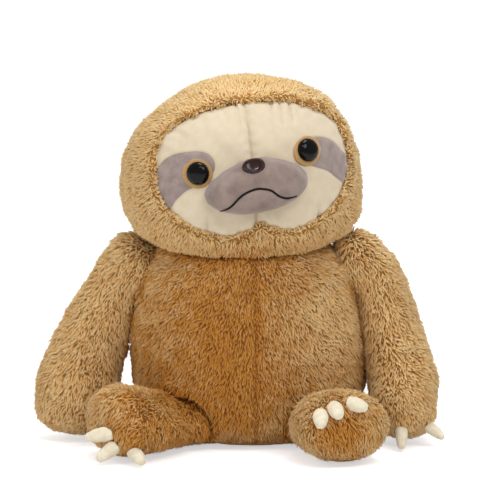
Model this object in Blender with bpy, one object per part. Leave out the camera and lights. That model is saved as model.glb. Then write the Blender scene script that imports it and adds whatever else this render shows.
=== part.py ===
"""A seated plush sloth: sewn fur covers over stuffing, with a face, plastic eyes and nose, and claws.

Lengths are metres and angles are degrees. The toy sits facing -Y with +Z up, and +X is its own left.
The origin is the middle of the flat seat under the torso. Covers are measured to the tips of the pile.
"""

import math

import bmesh
import bpy
from mathutils import Matrix, Vector
from mathutils.bvhtree import BVHTree

# Fabric and gaps
GAP = 0.0003
NECK_GAP = 0.0006
FUR_THICKNESS = 0.008
CREASE_THICKNESS = 0.003
SHORT_PILE_THICKNESS = 0.0035
LIMB_STUFFING_GAP = 0.0006
OVERRUN = 0.02
MERGE_DISTANCE = 0.000003

# Torso, as rings up its height: height, half width and half depth shares
TORSO_HEIGHT = 0.212
TORSO_WIDTH = 0.242
TORSO_DEPTH = 0.200
TORSO_SHARES = (
    (-0.110, 0.00, 0.00),
    (-0.080, 0.40, 0.38),
    (0.000, 0.72, 0.68),
    (0.100, 0.92, 0.90),
    (0.280, 1.00, 0.99),
    (0.470, 0.99, 1.00),
    (0.660, 0.93, 0.95),
    (0.830, 0.855, 0.86),
)

# Neck, where the head sits on a shallow dome
NECK_LEAN = 0.010
NECK_FORWARD = 0.006
NECK_RADIUS = 0.075
NECK_DOME_RADIUS = 0.240
NECK_HOLE_RADIUS = 0.045
NECK_HOLE_DEPTH = 0.040
NECK_SHARES = (1.0, 0.78, 0.52, 0.26, 0.0)
HEAD_SINK = 0.015

# Head, as rings up its height
HEAD_HEIGHT = 0.180
HEAD_WIDTH = 0.250
HEAD_DEPTH = 0.196
HEAD_SHARES = (
    (0.000, 0.00, 0.00),
    (0.006, 0.50, 0.64),
    (0.035, 0.71, 0.82),
    (0.105, 0.865, 0.92),
    (0.215, 0.96, 0.975),
    (0.375, 1.00, 1.00),
    (0.540, 0.98, 0.99),
    (0.705, 0.88, 0.92),
    (0.840, 0.71, 0.76),
    (0.938, 0.48, 0.52),
    (0.988, 0.22, 0.24),
    (1.000, 0.00, 0.00),
)
HEAD_YAW = 8.0
HOOD_ROLL = -4.0
FACE_ROLL = -10.0

# Face opening, halved at the middle line, as shares of its half width and half height
FACE_WIDTH = 0.204
FACE_HEIGHT = 0.136
FACE_LEVEL = 0.094
FACE_RECESS = 0.003
FACE_BACK_SHARE = 0.125
FACE_OPENING_SHIFT = 0.005
FACE_SHARES = (
    (0.00, 1.00),
    (0.25, 0.985),
    (0.46, 0.92),
    (0.71, 0.76),
    (0.87, 0.59),
    (0.955, 0.36),
    (1.00, 0.08),
    (0.985, -0.21),
    (0.91, -0.47),
    (0.79, -0.66),
    (0.615, -0.84),
    (0.39, -0.95),
    (0.25, -0.94),
    (0.09, -0.855),
    (0.00, -0.76),
)

# Eyes and the patches round them
EYE_SPREAD = 0.112
EYE_RISE = 0.009
EYE_SHIFT = 0.003
EYE_DIAMETER = 0.022
EYE_DOME_HEIGHT = 0.0085
EYE_RIM_SHARE = 0.125
EYE_RING_DIAMETER = 0.030
EYE_RING_THICKNESS = 0.0012
SHANK_DIAMETER = 0.005
SHANK_LENGTH = 0.016
WASHER_DIAMETER = 0.018
NOSE_WASHER_DIAMETER = 0.011
WASHER_THICKNESS = 0.0018
WASHER_DROP = 0.0030
PATCH_LENGTH = 0.070
PATCH_WIDTH = 0.038
PATCH_DROOP = {"right": -20.0, "left": -34.0}
PATCH_RISE = 0.004
PATCH_SHARES = (
    (-0.26, 0.05),
    (-0.18, 0.55),
    (-0.02, 0.88),
    (0.20, 1.00),
    (0.55, 0.96),
    (1.00, 0.92),
    (1.00, -0.92),
    (0.55, -0.86),
    (0.20, -0.84),
    (0.00, -0.74),
    (-0.16, -0.50),
    (-0.24, -0.22),
)

# Muzzle, nose and mouth, measured from the nose
MUZZLE_WIDTH = 0.109
MUZZLE_HEIGHT = 0.058
MUZZLE_RISE = 0.030
MUZZLE_ROOT = 0.024
MUZZLE_DROP = 0.012
MUZZLE_FULLNESS_SHARE = 0.62
MUZZLE_SHARES = (
    (0.00, 1.00),
    (0.25, 0.96),
    (0.57, 0.74),
    (0.86, 0.40),
    (1.00, 0.00),
    (0.96, -0.38),
    (0.75, -0.72),
    (0.42, -0.94),
    (0.00, -1.00),
)
NOSE_WIDTH = 0.0235
NOSE_HEIGHT = 0.017
NOSE_DEPTH = 0.009
NOSE_ROOT = 0.005
NOSE_TIP_SHARE = 1.2
NOSE_FULLNESS_SHARE = 0.75
NOSE_WASHER_DROP = 0.0095
NOSE_SHARES = (
    (0.00, 0.82),
    (0.45, 1.00),
    (0.85, 0.72),
    (1.00, 0.18),
    (0.80, -0.42),
    (0.42, -0.85),
    (0.00, -1.00),
)
NOSE_LEVEL = 0.011
NOSE_SHIFT = -0.003
MUZZLE_SHIFT = 0.001
THREAD_DIAMETER = 0.0016
THREAD_LIFT = 0.0006
MOUTH_WIDTH = 0.077
MOUTH_DROP = 0.013
MOUTH_LEVEL = 0.020
MOUTH_SHARES = ((0.00, 0.00), (0.32, 0.16), (0.54, 0.52), (0.76, 0.88), (1.00, 1.00))

# Arms, which hang from the shoulders: route, wide half and narrow half shares
SHOULDER_RADIUS = 0.031
SHOULDER_INSET = 0.002
SHOULDER_DROP = {"right": 0.040, "left": 0.032}
HAND_CLEARANCE = {"right": 0.005, "left": 0.011}
ARM_WIDTH = 0.090
ARM_THICKNESS = 0.072
ARM_ROUTE_SHARES = {
    "right": (
        (0.065, 0.00, -0.03),
        (0.170, 0.00, -0.24),
        (0.27, -0.02, -0.46),
        (0.34, -0.07, -0.69),
        (0.37, -0.12, -0.86),
    ),
    "left": (
        (0.08, 0.00, -0.02),
        (0.13, -0.01, -0.24),
        (0.18, -0.05, -0.46),
        (0.23, -0.14, -0.70),
        (0.22, -0.25, -0.85),
    ),
}
ARM_WIDE_SHARES = (0.70, 0.82, 0.91, 1.00, 0.92)
ARM_THIN_SHARES = (0.70, 0.77, 0.84, 0.98, 0.96)
ARM_TURN = {"right": 0.0, "left": 82.0}
LIMB_CAP_SHARE = 0.8
HAND_SLOPE_SHARE = 0.5

# Legs, which lie on the floor from the hips to the soles
HIP_RADIUS = 0.029
HIP_SPREAD = 0.124
HIP_FORWARD = 0.066
HIP_LEVEL = 0.031
LEG_LENGTH = 0.108
FOOT_WIDTH = 0.098
FOOT_HEIGHT = 0.078
FOOT_LEVEL = 0.041
SOLE_SHARE = 0.24
LEG_WIDE_SHARES = (0.56, 0.80, 0.96, 1.00)
LEG_TALL_SHARES = (0.70, 0.82, 0.95, 1.00)
LEG_ALONG_SHARES = (0.00, 0.28, 0.56, 0.80)
LEG_TURN = {"right": 54.0, "left": 23.0}
HIP_SWING = {"right": 45.0, "left": 25.0}

# Claws: length, thickness, and where each one leaves the foot or hand
FOOT_CLAW_LENGTH = 0.027
FOOT_CLAW_DIAMETER = 0.0155
HAND_CLAW_LENGTH = 0.023
HAND_CLAW_DIAMETER = 0.013
CLAW_ROOT_SHARE = 0.25
CLAW_CURL_SHARE = 0.10
CLAW_SHARES = ((0.00, 0.92), (0.30, 1.00), (0.62, 0.88), (0.86, 0.60))
CLAW_TIP_SHARE = 0.12
CLAW_NAMES = ("inner", "middle", "outer")
# Each claw: turn and rise of its root as seen from the limb's end, then turn and rise of the claw
FOOT_CLAW_TURNS = {
    "left": ((-66.0, 24.0, -22.0, -30.0), (-46.0, 42.0, -4.0, -20.0), (14.0, 50.0, 42.0, -8.0)),
    "right": ((80.0, -36.0, 78.0, -10.0), (44.0, -37.0, -8.0, -26.0), (30.0, -14.0, -42.0, -6.0)),
}
HAND_CLAW_TURNS = {
    "left": ((-55.0, -30.0, -45.0, -35.0), (-5.0, -40.0, 0.0, -48.0), (40.0, -40.0, 56.0, -24.0)),
    "right": ((100.0, -28.0, 105.0, -12.0), (70.0, -32.0, 80.0, -12.0), (42.0, -34.0, 55.0, -12.0)),
}

# Mesh fineness
ROW_STEP = 0.02
RINGS_PER_ROW = 1
BODY_SIDES = 28
LINING_SIDES = 20
LIMB_SIDES = 18
LIMB_LINING_SIDES = 12
CLAW_SIDES = 8
BALL_SIDES = 18
SEAT_SIDES = 36
LATHE_SIDES = 16
THREAD_SIDES = 6
THREAD_STEPS = 3
NECK_SEAT_STEPS = 10
CAP_STEPS = 3
SOLE_STEPS = 4
EYE_DOME_STEPS = 5
MUZZLE_STEPS = 6
NOSE_STEPS = 5
SWING_STEPS = 6
LINING_SWING_STEPS = 2
SHARP_ANGLE = 40.0

COLOURS = {
    "fur": (0.50, 0.30, 0.13, 0.95),
    "cream": (0.79, 0.69, 0.49, 0.90),
    "mauve": (0.30, 0.26, 0.27, 0.92),
    "amber": (0.45, 0.24, 0.08, 0.85),
    "black": (0.01, 0.01, 0.01, 0.12),
    "nose": (0.035, 0.015, 0.012, 0.20),
    "thread": (0.03, 0.015, 0.012, 0.70),
    "claw": (0.76, 0.67, 0.50, 0.85),
    "stuffing": (0.85, 0.84, 0.80, 0.95),
    "washer": (0.75, 0.75, 0.72, 0.45),
}


def material(name):
    """The named colour and roughness as a Principled material of its own."""
    red, green, blue, roughness = COLOURS[name]
    made = bpy.data.materials.new(name)
    made.use_nodes = True
    shader = made.node_tree.nodes["Principled BSDF"]
    shader.inputs["Base Color"].default_value = (red, green, blue, 1.0)
    shader.inputs["Roughness"].default_value = roughness
    shader.inputs["Metallic"].default_value = 0.0
    return made


def smooth_rows(rows, place):
    """The Catmull-Rom value of the rows at place, which counts rows from 0."""
    last = len(rows) - 1
    index = min(int(place), last - 1)
    share = place - index
    here = rows[index]
    after = rows[index + 1]
    before = rows[index - 1] if index > 0 else [2 * a - b for a, b in zip(here, after)]
    beyond = rows[index + 2] if index + 2 <= last else [2 * b - a for a, b in zip(here, after)]
    values = []
    for p, q, r, s in zip(before, here, after, beyond):
        slope = r - p
        bend = 2 * p - 5 * q + 4 * r - s
        twist = 3 * q - p - 3 * r + s
        values.append(q + 0.5 * share * (slope + share * (bend + share * twist)))
    return values


class Form:
    """A swelling solid: elliptical rings, given as rows of centre, half width and half depth.

    The rings lie square to the centre line, or level where the form is upright.
    """

    def __init__(self, rows, side_axis, upright=False):
        self.rows = [tuple(row) for row in rows]
        self.side_axis = Vector(side_axis)
        self.upright = upright

    def frame(self, place):
        """Centre, heading, side and depth axes, and the two half sizes at a place along the rows."""
        last = len(self.rows) - 1
        row = smooth_rows(self.rows, place)
        ahead = Vector(smooth_rows(self.rows, min(place + ROW_STEP, last))[:3])
        behind = Vector(smooth_rows(self.rows, max(place - ROW_STEP, 0.0))[:3])
        heading = Vector((0.0, 0.0, 1.0)) if self.upright else (ahead - behind).normalized()
        side = (self.side_axis - heading * self.side_axis.dot(heading)).normalized()
        depth = heading.cross(side)
        return Vector(row[:3]), heading, side, depth, max(row[3], 0.0), max(row[4], 0.0)

    def skin(self, place, angle):
        """The point of the surface at a place along the rows and an angle round them."""
        centre, _, side, depth, half_width, half_depth = self.frame(place)
        return centre + side * (half_width * math.cos(angle)) + depth * (half_depth * math.sin(angle))

    def inset_skin(self, place, angle, inset):
        """The surface point moved inward along its normal."""
        last = len(self.rows) - 1
        ahead = self.skin(min(place + ROW_STEP, last), angle)
        behind = self.skin(max(place - ROW_STEP, 0.0), angle)
        along = ahead - behind
        around = self.skin(place, angle + ROW_STEP) - self.skin(place, angle - ROW_STEP)
        normal = around.cross(along).normalized()
        return self.skin(place, angle) - normal * inset

    def mesh(self, sides, rings_per_row, inset=0.0):
        """A closed bmesh of the surface, moved inward by the inset."""
        last = len(self.rows) - 1
        bm = bmesh.new()
        rings = []
        for step in range(last * rings_per_row + 1):
            place = step / rings_per_row
            centre, heading, _, _, half_width, half_depth = self.frame(place)
            if min(half_width, half_depth) == 0.0:
                outward = 1.0 if place > 0.0 else -1.0
                rings.append([bm.verts.new(centre - heading * inset * outward)])
                continue
            ring = []
            for side in range(sides):
                angle = 2 * math.pi * side / sides
                point = self.inset_skin(place, angle, inset) if inset else self.skin(place, angle)
                ring.append(bm.verts.new(point))
            rings.append(ring)
        bridge_rings(bm, rings)
        return bm


def bridge_rings(bm, rings):
    """Faces between successive rings, where a ring of one vertex is a pole and an end ring is capped."""
    for lower, upper in zip(rings, rings[1:]):
        count = max(len(lower), len(upper))
        for here in range(count):
            beyond = (here + 1) % count
            corners = [lower[here % len(lower)], lower[beyond % len(lower)]]
            corners += [upper[beyond % len(upper)], upper[here % len(upper)]]
            bm.faces.new(list(dict.fromkeys(corners)))
    if len(rings[0]) > 1:
        bm.faces.new(rings[0][::-1])
    if len(rings[-1]) > 1:
        bm.faces.new(rings[-1])
    bmesh.ops.recalc_face_normals(bm, faces=bm.faces)
    twisted = [face for face in bm.faces if len(face.verts) == 4]
    bmesh.ops.triangulate(bm, faces=twisted, quad_method="FIXED")


def round_end(centre, heading, half_width, half_depth, length, steps):
    """Rows of a rounded end, from the ring after the full one to the pole."""
    rows = []
    for step in range(1, steps + 1):
        turn = 0.5 * math.pi * step / steps
        reach = Vector(centre) + Vector(heading) * (length * math.sin(turn))
        shrink = math.cos(turn) if step < steps else 0.0
        rows.append((*reach, half_width * shrink, half_depth * shrink))
    return rows


def ball(centre, radius, sides):
    """A round ball as a bmesh."""
    bm = bmesh.new()
    bmesh.ops.create_uvsphere(bm, u_segments=sides, v_segments=sides // 2, radius=radius)
    bmesh.ops.translate(bm, verts=bm.verts, vec=Vector(centre))
    return bm


def seat_radius(radius, sides):
    """The radius of a faceted seat whose flats still clear a ball of the given radius."""
    return (radius + GAP) / (math.cos(math.pi / sides) ** 2)


def lathe(profile, sides):
    """A bmesh turned about Z from (radius, height) points that run from axis to axis or close a ring."""
    bm = bmesh.new()
    on_axis = profile[0][0] == 0.0
    points = [bm.verts.new((radius, 0.0, height)) for radius, height in profile]
    pairs = list(zip(points, points[1:]))
    if not on_axis:
        pairs.append((points[-1], points[0]))
    edges = [bm.edges.new(pair) for pair in pairs]
    bmesh.ops.spin(
        bm,
        geom=points + edges,
        cent=(0.0, 0.0, 0.0),
        axis=(0.0, 0.0, 1.0),
        angle=2 * math.pi,
        steps=sides,
        use_merge=True,
    )
    bmesh.ops.remove_doubles(bm, verts=bm.verts, dist=MERGE_DISTANCE)
    bmesh.ops.recalc_face_normals(bm, faces=bm.faces)
    return bm


def ring_profile(inner, outer, bottom, top):
    """The profile of a flat ring."""
    return ((inner, bottom), (outer, bottom), (outer, top), (inner, top))


def disc_profile(radius, bottom, top):
    """The profile of a plain disc or pin."""
    return ((0.0, bottom), (radius, bottom), (radius, top), (0.0, top))


def prism(outline, near, far, frame):
    """A bmesh of the outline, given in the face plane, pushed from near to far behind the front."""
    bm = bmesh.new()
    corners = [bm.verts.new(frame @ Vector((across, near, up))) for across, up in outline]
    face = bm.faces.new(corners)
    pushed = bmesh.ops.extrude_face_region(bm, geom=[face])
    moved = [item for item in pushed["geom"] if isinstance(item, bmesh.types.BMVert)]
    push = frame.to_3x3() @ Vector((0.0, far - near, 0.0))
    bmesh.ops.translate(bm, verts=moved, vec=push)
    bmesh.ops.recalc_face_normals(bm, faces=bm.faces)
    return bm


def box(low, high):
    """A box between two corners as a bmesh."""
    bm = bmesh.new()
    bmesh.ops.create_cube(bm, size=1.0)
    size = Vector(high) - Vector(low)
    middle = (Vector(high) + Vector(low)) / 2
    bmesh.ops.scale(bm, verts=bm.verts, vec=size)
    bmesh.ops.translate(bm, verts=bm.verts, vec=middle)
    return bm


def mirrored(half_outline):
    """The whole outline from its right half, which starts and ends on the middle line."""
    return list(half_outline) + [(-x, y) for x, y in half_outline[-2:0:-1]]


def rounded(outline, per_side):
    """The closed outline as a smooth curve through its corners."""
    count = len(outline)
    points = []
    for index in range(count):
        near = [outline[(index + offset) % count] for offset in (-1, 0, 1, 2)]
        for step in range(per_side):
            points.append(tuple(smooth_rows(near, 1 + step / per_side)))
    return points


def shifted(outline, gap):
    """The outline, run clockwise or anticlockwise, moved inward by the gap, or outward if negative."""
    count = len(outline)
    pairs = zip(outline, outline[1:] + outline[:1])
    area = sum(x0 * y1 - x1 * y0 for (x0, y0), (x1, y1) in pairs)
    sign = 1.0 if area > 0.0 else -1.0
    moved = []
    for index in range(count):
        x0, y0 = outline[index - 1]
        x1, y1 = outline[(index + 1) % count]
        along = Vector((x1 - x0, y1 - y0)).normalized()
        x, y = outline[index]
        moved.append((x - sign * gap * along.y, y + sign * gap * along.x))
    return moved


def scaled(shares, half_width, half_height, across=0.0, up=0.0):
    """Shares of a half width and a half height as points round a middle."""
    return [(across + x * half_width, up + y * half_height) for x, y in shares]


def new_object(name, bm, colour):
    """A named, smooth-shaded object made from the bmesh."""
    mesh = bpy.data.meshes.new(name)
    bm.to_mesh(mesh)
    bm.free()
    made = bpy.data.objects.new(name, mesh)
    bpy.context.collection.objects.link(made)
    mesh.materials.append(material(colour))
    mesh.shade_smooth()
    mesh.set_sharp_from_angle(angle=math.radians(SHARP_ANGLE))
    return made


def combine(target, tool, operation, solver="EXACT"):
    """The target changed by a Boolean with the tool, a bmesh that is used up."""
    mesh = bpy.data.meshes.new("cutter")
    tool.to_mesh(mesh)
    tool.free()
    cutter = bpy.data.objects.new("cutter", mesh)
    bpy.context.collection.objects.link(cutter)
    change = target.modifiers.new("cut", "BOOLEAN")
    change.operation = operation
    change.solver = solver
    change.object = cutter
    view = bpy.context.evaluated_depsgraph_get()
    result = bpy.data.meshes.new_from_object(target.evaluated_get(view))
    old = target.data
    target.modifiers.clear()
    result.name = target.name
    target.data = result
    bpy.data.meshes.remove(old)
    bpy.data.objects.remove(cutter)
    bpy.data.meshes.remove(mesh)
    return target


def cut(target, *tools):
    """The target with each tool taken out of it."""
    for tool in tools:
        combine(target, tool, "DIFFERENCE")
    return target


def trim(target, *tools):
    """The part of the target that lies inside every tool."""
    for tool in tools:
        combine(target, tool, "INTERSECT")
    return target


def torso_form():
    """The torso's outer surface, whose top is a shallow dome for the head to turn on."""
    rows = []
    for up, wide, deep in TORSO_SHARES:
        lean = max(up, 0.0) ** 2
        centre = (-NECK_LEAN * lean, -NECK_FORWARD * lean, up * TORSO_HEIGHT)
        rows.append((*centre, wide * TORSO_WIDTH / 2, deep * TORSO_DEPTH / 2))
    for share in NECK_SHARES:
        radius = share * NECK_RADIUS
        rows.append((-NECK_LEAN, -NECK_FORWARD, neck_height(radius), radius, radius))
    return Form(rows, (1.0, 0.0, 0.0), upright=True)


def neck_height(radius):
    """The height of the neck's dome at a distance from its axis."""
    return TORSO_HEIGHT - NECK_DOME_RADIUS + math.sqrt(NECK_DOME_RADIUS**2 - radius**2)


def neck_seat():
    """The space under the head that the neck's dome turns in."""
    reach = HEAD_WIDTH / 2
    profile = [(0.0, 0.0), (reach, 0.0)]
    for step in range(NECK_SEAT_STEPS, -1, -1):
        radius = reach * step / NECK_SEAT_STEPS
        profile.append((radius, neck_height(radius) + NECK_GAP))
    bm = lathe(profile, BODY_SIDES)
    bmesh.ops.translate(bm, verts=bm.verts, vec=(-NECK_LEAN, -NECK_FORWARD, 0.0))
    return bm


def neck_hole():
    """The round sewing hole between the torso and the head."""
    bottom = TORSO_HEIGHT - NECK_HOLE_DEPTH
    bm = lathe(disc_profile(NECK_HOLE_RADIUS, bottom, TORSO_HEIGHT + OVERRUN), LATHE_SIDES)
    bmesh.ops.translate(bm, verts=bm.verts, vec=(-NECK_LEAN, -NECK_FORWARD, 0.0))
    return bm


def head_frame():
    """The head's place: the neck axis at the head's lowest level, turned by the yaw."""
    base = TORSO_HEIGHT - HEAD_SINK
    place = Matrix.Translation((-NECK_LEAN, -NECK_FORWARD, base))
    return place @ Matrix.Rotation(math.radians(HEAD_YAW), 4, "Z")


def head_form():
    """The head's outer surface."""
    frame = head_frame()
    rows = []
    for up, wide, deep in HEAD_SHARES:
        centre = frame @ Vector((0.0, 0.0, up * HEAD_HEIGHT))
        rows.append((*centre, wide * HEAD_WIDTH / 2, deep * HEAD_DEPTH / 2))
    return Form(rows, frame.to_3x3() @ Vector((1.0, 0.0, 0.0)), upright=True)


def face_frame(roll):
    """The face's place in the middle of the head, rolled about the line of sight."""
    middle = Matrix.Translation((0.0, 0.0, FACE_LEVEL))
    return head_frame() @ middle @ Matrix.Rotation(math.radians(roll), 4, "Y")


def arm_side(side):
    """-1 for the toy's right, 1 for its left."""
    return 1.0 if side == "left" else -1.0


def shoulder(side):
    """The middle of the arm's ball end."""
    across = arm_side(side) * (TORSO_WIDTH / 2 - SHOULDER_INSET)
    return Vector((across, 0.0, TORSO_HEIGHT - SHOULDER_DROP[side]))


def arm_form(side):
    """The arm from inside its ball end to the rounded hand."""
    joint = shoulder(side)
    reach = joint.z - HAND_CLEARANCE[side]
    rows = []
    centres = []
    for across, along, up in ARM_ROUTE_SHARES[side]:
        centres.append(joint + Vector((arm_side(side) * across, along, up)) * reach)
    top_heading = (centres[0] - centres[1]).normalized()
    halves = [
        (wide * ARM_WIDTH / 2, thin * ARM_THICKNESS / 2)
        for wide, thin in zip(ARM_WIDE_SHARES, ARM_THIN_SHARES)
    ]
    cap = round_end(centres[0], top_heading, *halves[0], LIMB_CAP_SHARE * SHOULDER_RADIUS, CAP_STEPS)
    rows += cap[::-1]
    rows += [(*centre, *half) for centre, half in zip(centres, halves)]
    end_heading = (centres[-1] - centres[-2]).normalized()
    length = (centres[-1].z - HAND_CLEARANCE[side]) / max(-end_heading.z, HAND_SLOPE_SHARE)
    rows += round_end(centres[-1], end_heading, *halves[-1], length, CAP_STEPS)
    turn = Matrix.Rotation(math.radians(ARM_TURN[side]), 3, "Z")
    return Form(rows, turn @ Vector((1.0, 0.0, 0.0)))


def hip(side):
    """The middle of the leg's ball end."""
    return Vector((arm_side(side) * HIP_SPREAD / 2, -HIP_FORWARD, HIP_LEVEL))


def leg_heading(side):
    """The level direction from the hip to the sole."""
    turn = math.radians(LEG_TURN[side])
    return Vector((arm_side(side) * math.sin(turn), -math.cos(turn), 0.0))


def leg_form(side):
    """The leg from inside its ball end to the rounded sole."""
    joint = hip(side)
    heading = leg_heading(side)
    rise = FOOT_LEVEL - HIP_LEVEL
    rows = []
    for along, wide, tall in zip(LEG_ALONG_SHARES, LEG_WIDE_SHARES, LEG_TALL_SHARES):
        centre = joint + heading * (along * LEG_LENGTH) + Vector((0.0, 0.0, rise * along))
        rows.append((*centre, wide * FOOT_WIDTH / 2, tall * FOOT_HEIGHT / 2))
    start = round_end(rows[0][:3], -heading, *rows[0][3:], LIMB_CAP_SHARE * HIP_RADIUS, CAP_STEPS)
    end = round_end(rows[-1][:3], heading, *rows[-1][3:], SOLE_SHARE * LEG_LENGTH, SOLE_STEPS)
    level = heading.cross(Vector((0.0, 0.0, 1.0)))
    return Form(start[::-1] + rows + end, level)


def hollow(name, form, colour, sides, lining_sides, thickness):
    """An outer cover: the form's surface with its inside taken out."""
    cover = new_object(name, form.mesh(sides, RINGS_PER_ROW), colour)
    return cut(cover, form.mesh(lining_sides, RINGS_PER_ROW, thickness))


def build_torso(pieces):
    """The torso's cover with its sewing holes, and its stuffing, both flat under the seat."""
    form = torso_form()
    cover = new_object("torso_cover", form.mesh(BODY_SIDES, RINGS_PER_ROW), "fur")
    wide = TORSO_WIDTH + OVERRUN
    floor = box((-wide, -wide, -TORSO_HEIGHT), (wide, wide, 0.0))
    cut(cover, floor)
    lining = new_object("lining", form.mesh(LINING_SIDES, RINGS_PER_ROW, FUR_THICKNESS), "fur")
    cut(lining, box((-wide, -wide, -TORSO_HEIGHT), (wide, wide, FUR_THICKNESS)))
    cut(cover, taken(lining))
    stuffing = new_object(
        "torso_stuffing", form.mesh(LINING_SIDES, RINGS_PER_ROW, FUR_THICKNESS + GAP), "stuffing"
    )
    cut(stuffing, box((-wide, -wide, -TORSO_HEIGHT), (wide, wide, FUR_THICKNESS + GAP)))
    cut(cover, neck_hole())
    for side in ("right", "left"):
        for joint, radius in ((shoulder(side), SHOULDER_RADIUS), (hip(side), HIP_RADIUS)):
            cut(cover, ball(joint, seat_radius(radius, SEAT_SIDES), SEAT_SIDES))
            cut(stuffing, ball(joint, seat_radius(radius, BALL_SIDES), BALL_SIDES))
    pieces["torso_cover"] = cover
    pieces["torso_stuffing"] = stuffing


def taken(holder):
    """The object's mesh as a bmesh, with the object removed."""
    bm = bmesh.new()
    bm.from_mesh(holder.data)
    mesh = holder.data
    bpy.data.objects.remove(holder)
    bpy.data.meshes.remove(mesh)
    return bm


def face_outline(gap=0.0):
    """The face opening in the face plane, drawn in by the gap."""
    outline = mirrored(scaled(FACE_SHARES, FACE_WIDTH / 2, FACE_HEIGHT / 2))
    return shifted([(x + FACE_OPENING_SHIFT, y) for x, y in outline], gap)


def face_prism(gap=0.0):
    """The block of space in front of the head's middle that lies inside the face opening."""
    back = -FACE_BACK_SHARE * HEAD_DEPTH - gap
    return prism(face_outline(gap), -HEAD_DEPTH, back, face_frame(HOOD_ROLL))


def patch_outline(side, gap=0.0):
    """An eye patch in the face plane: round at the eye, and running out past the face opening."""
    turn = math.radians(PATCH_DROOP[side])
    across, up = eye_place(side)
    points = []
    for x, y in rounded(scaled(PATCH_SHARES, PATCH_LENGTH, PATCH_WIDTH / 2, 0.0, PATCH_RISE), 2):
        points.append(
            (
                across + arm_side(side) * (x * math.cos(turn) - y * math.sin(turn)),
                up + x * math.sin(turn) + y * math.cos(turn),
            )
        )
    return shifted(points, gap)


def eye_place(side):
    """The eye's middle in the plane of the hood's roll."""
    turn = face_frame(HOOD_ROLL).inverted() @ face_frame(FACE_ROLL)
    point = turn @ Vector((EYE_SHIFT + arm_side(side) * EYE_SPREAD / 2, 0.0, EYE_RISE))
    return point.x, point.z


def patch_prism(side, gap=0.0):
    """The block of space in front of the head's middle that lies inside an eye patch."""
    back = -FACE_BACK_SHARE * HEAD_DEPTH + gap
    return prism(patch_outline(side, gap), -HEAD_DEPTH, back, face_frame(HOOD_ROLL))


def half_space(side, gap):
    """The space on one side of the face's middle seam."""
    sign = arm_side(side)
    reach = HEAD_WIDTH
    outline = [(0.0, -reach), (sign * reach, -reach), (sign * reach, reach), (0.0, reach)]
    outline = [(x + sign * gap / 2, y) for x, y in outline]
    return prism(outline, -HEAD_DEPTH, HEAD_DEPTH, face_frame(HOOD_ROLL))


def face_layer(form, name, colour):
    """A layer of face fabric all round the head, a little below the hood's pile."""
    layer = new_object(name, form.mesh(BODY_SIDES, RINGS_PER_ROW, FACE_RECESS), colour)
    return cut(layer, form.mesh(LINING_SIDES, RINGS_PER_ROW, FUR_THICKNESS))


def surface_of(bm):
    """A search tree of the bmesh, which is used up."""
    tree = BVHTree.FromBMesh(bm)
    bm.free()
    return tree


def seat_on(tree, frame, across, up):
    """A frame on the surface, met from the front at a place in the face plane, with Z outward."""
    start = frame @ Vector((across, -HEAD_DEPTH, up))
    point, normal, _, _ = tree.ray_cast(start, frame.to_3x3() @ Vector((0.0, 1.0, 0.0)))
    turn = normal.to_track_quat("Z", "Y").to_matrix().to_4x4()
    return Matrix.Translation(point) @ turn


def placed(bm, frame):
    """The bmesh moved into the frame."""
    bmesh.ops.transform(bm, matrix=frame, verts=bm.verts)
    return bm


def eye_profile():
    """A safety eye: a thin shank under a glossy dome with a rounded rim."""
    radius = EYE_DIAMETER / 2
    shank = SHANK_DIAMETER / 2
    base = EYE_RING_THICKNESS + GAP
    rim = EYE_RIM_SHARE * EYE_DOME_HEIGHT
    profile = [(0.0, -SHANK_LENGTH), (shank, -SHANK_LENGTH), (shank, base), (radius - rim / 2, base)]
    for step in range(EYE_DOME_STEPS):
        turn = 0.5 * math.pi * step / EYE_DOME_STEPS
        profile.append((radius * math.cos(turn), base + rim + (EYE_DOME_HEIGHT - rim) * math.sin(turn)))
    profile.append((0.0, base + EYE_DOME_HEIGHT))
    return profile


def shank_hole():
    """The hole that a shank passes through."""
    return disc_profile(SHANK_DIAMETER / 2 + GAP, -SHANK_LENGTH - OVERRUN, OVERRUN)


def washer_levels(depth):
    """The bottom and top of a washer whose top lies at a depth under the surface."""
    top = -depth
    return top - WASHER_THICKNESS, top


def washer_pocket(depth, diameter):
    """The space that the stuffing leaves for a washer and the end of its shank."""
    bottom, top = washer_levels(depth)
    floor = min(bottom, -SHANK_LENGTH) - GAP
    return disc_profile(diameter / 2 + GAP, floor, top + GAP + OVERRUN)


def build_washer(name, frame, depth, diameter):
    """The ring pressed onto a shank inside the toy."""
    bottom, top = washer_levels(depth)
    profile = ring_profile(SHANK_DIAMETER / 2 + GAP, diameter / 2, bottom, top)
    return new_object(name, placed(lathe(profile, LATHE_SIDES), frame), "washer")


def muzzle_frame():
    """The muzzle's place: in the face plane, on the plane that its root starts from."""
    front = -HEAD_DEPTH / 2 + MUZZLE_ROOT
    return face_frame(FACE_ROLL) @ Matrix.Translation((MUZZLE_SHIFT, front, 0.0))


def dome_mesh(shares, width, height, depth, drop, inset, frame, fullness, rings):
    """A cushion that stands on an outline and rounds over towards the front."""
    bm = bmesh.new()
    outline = mirrored(scaled(shares, width / 2, height / 2))
    loops = []
    for ring in range(rings + 1):
        turn = 0.5 * math.pi * ring / rings
        shrink = math.cos(turn) ** fullness
        forward = (depth - inset) * math.sin(turn) ** fullness if ring else -abs(inset)
        if ring == rings:
            loops.append([bm.verts.new(frame @ Vector((0.0, -forward, -drop)))])
            continue
        points = [(x * shrink, y * shrink) for x, y in outline]
        if inset:
            points = [
                (x * (1 - 2 * inset / width), y * (1 - 2 * inset / height)) for x, y in points
            ]
        loops.append([bm.verts.new(frame @ Vector((x, -forward, y - drop))) for x, y in points])
    bridge_rings(bm, loops)
    return bm


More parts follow.
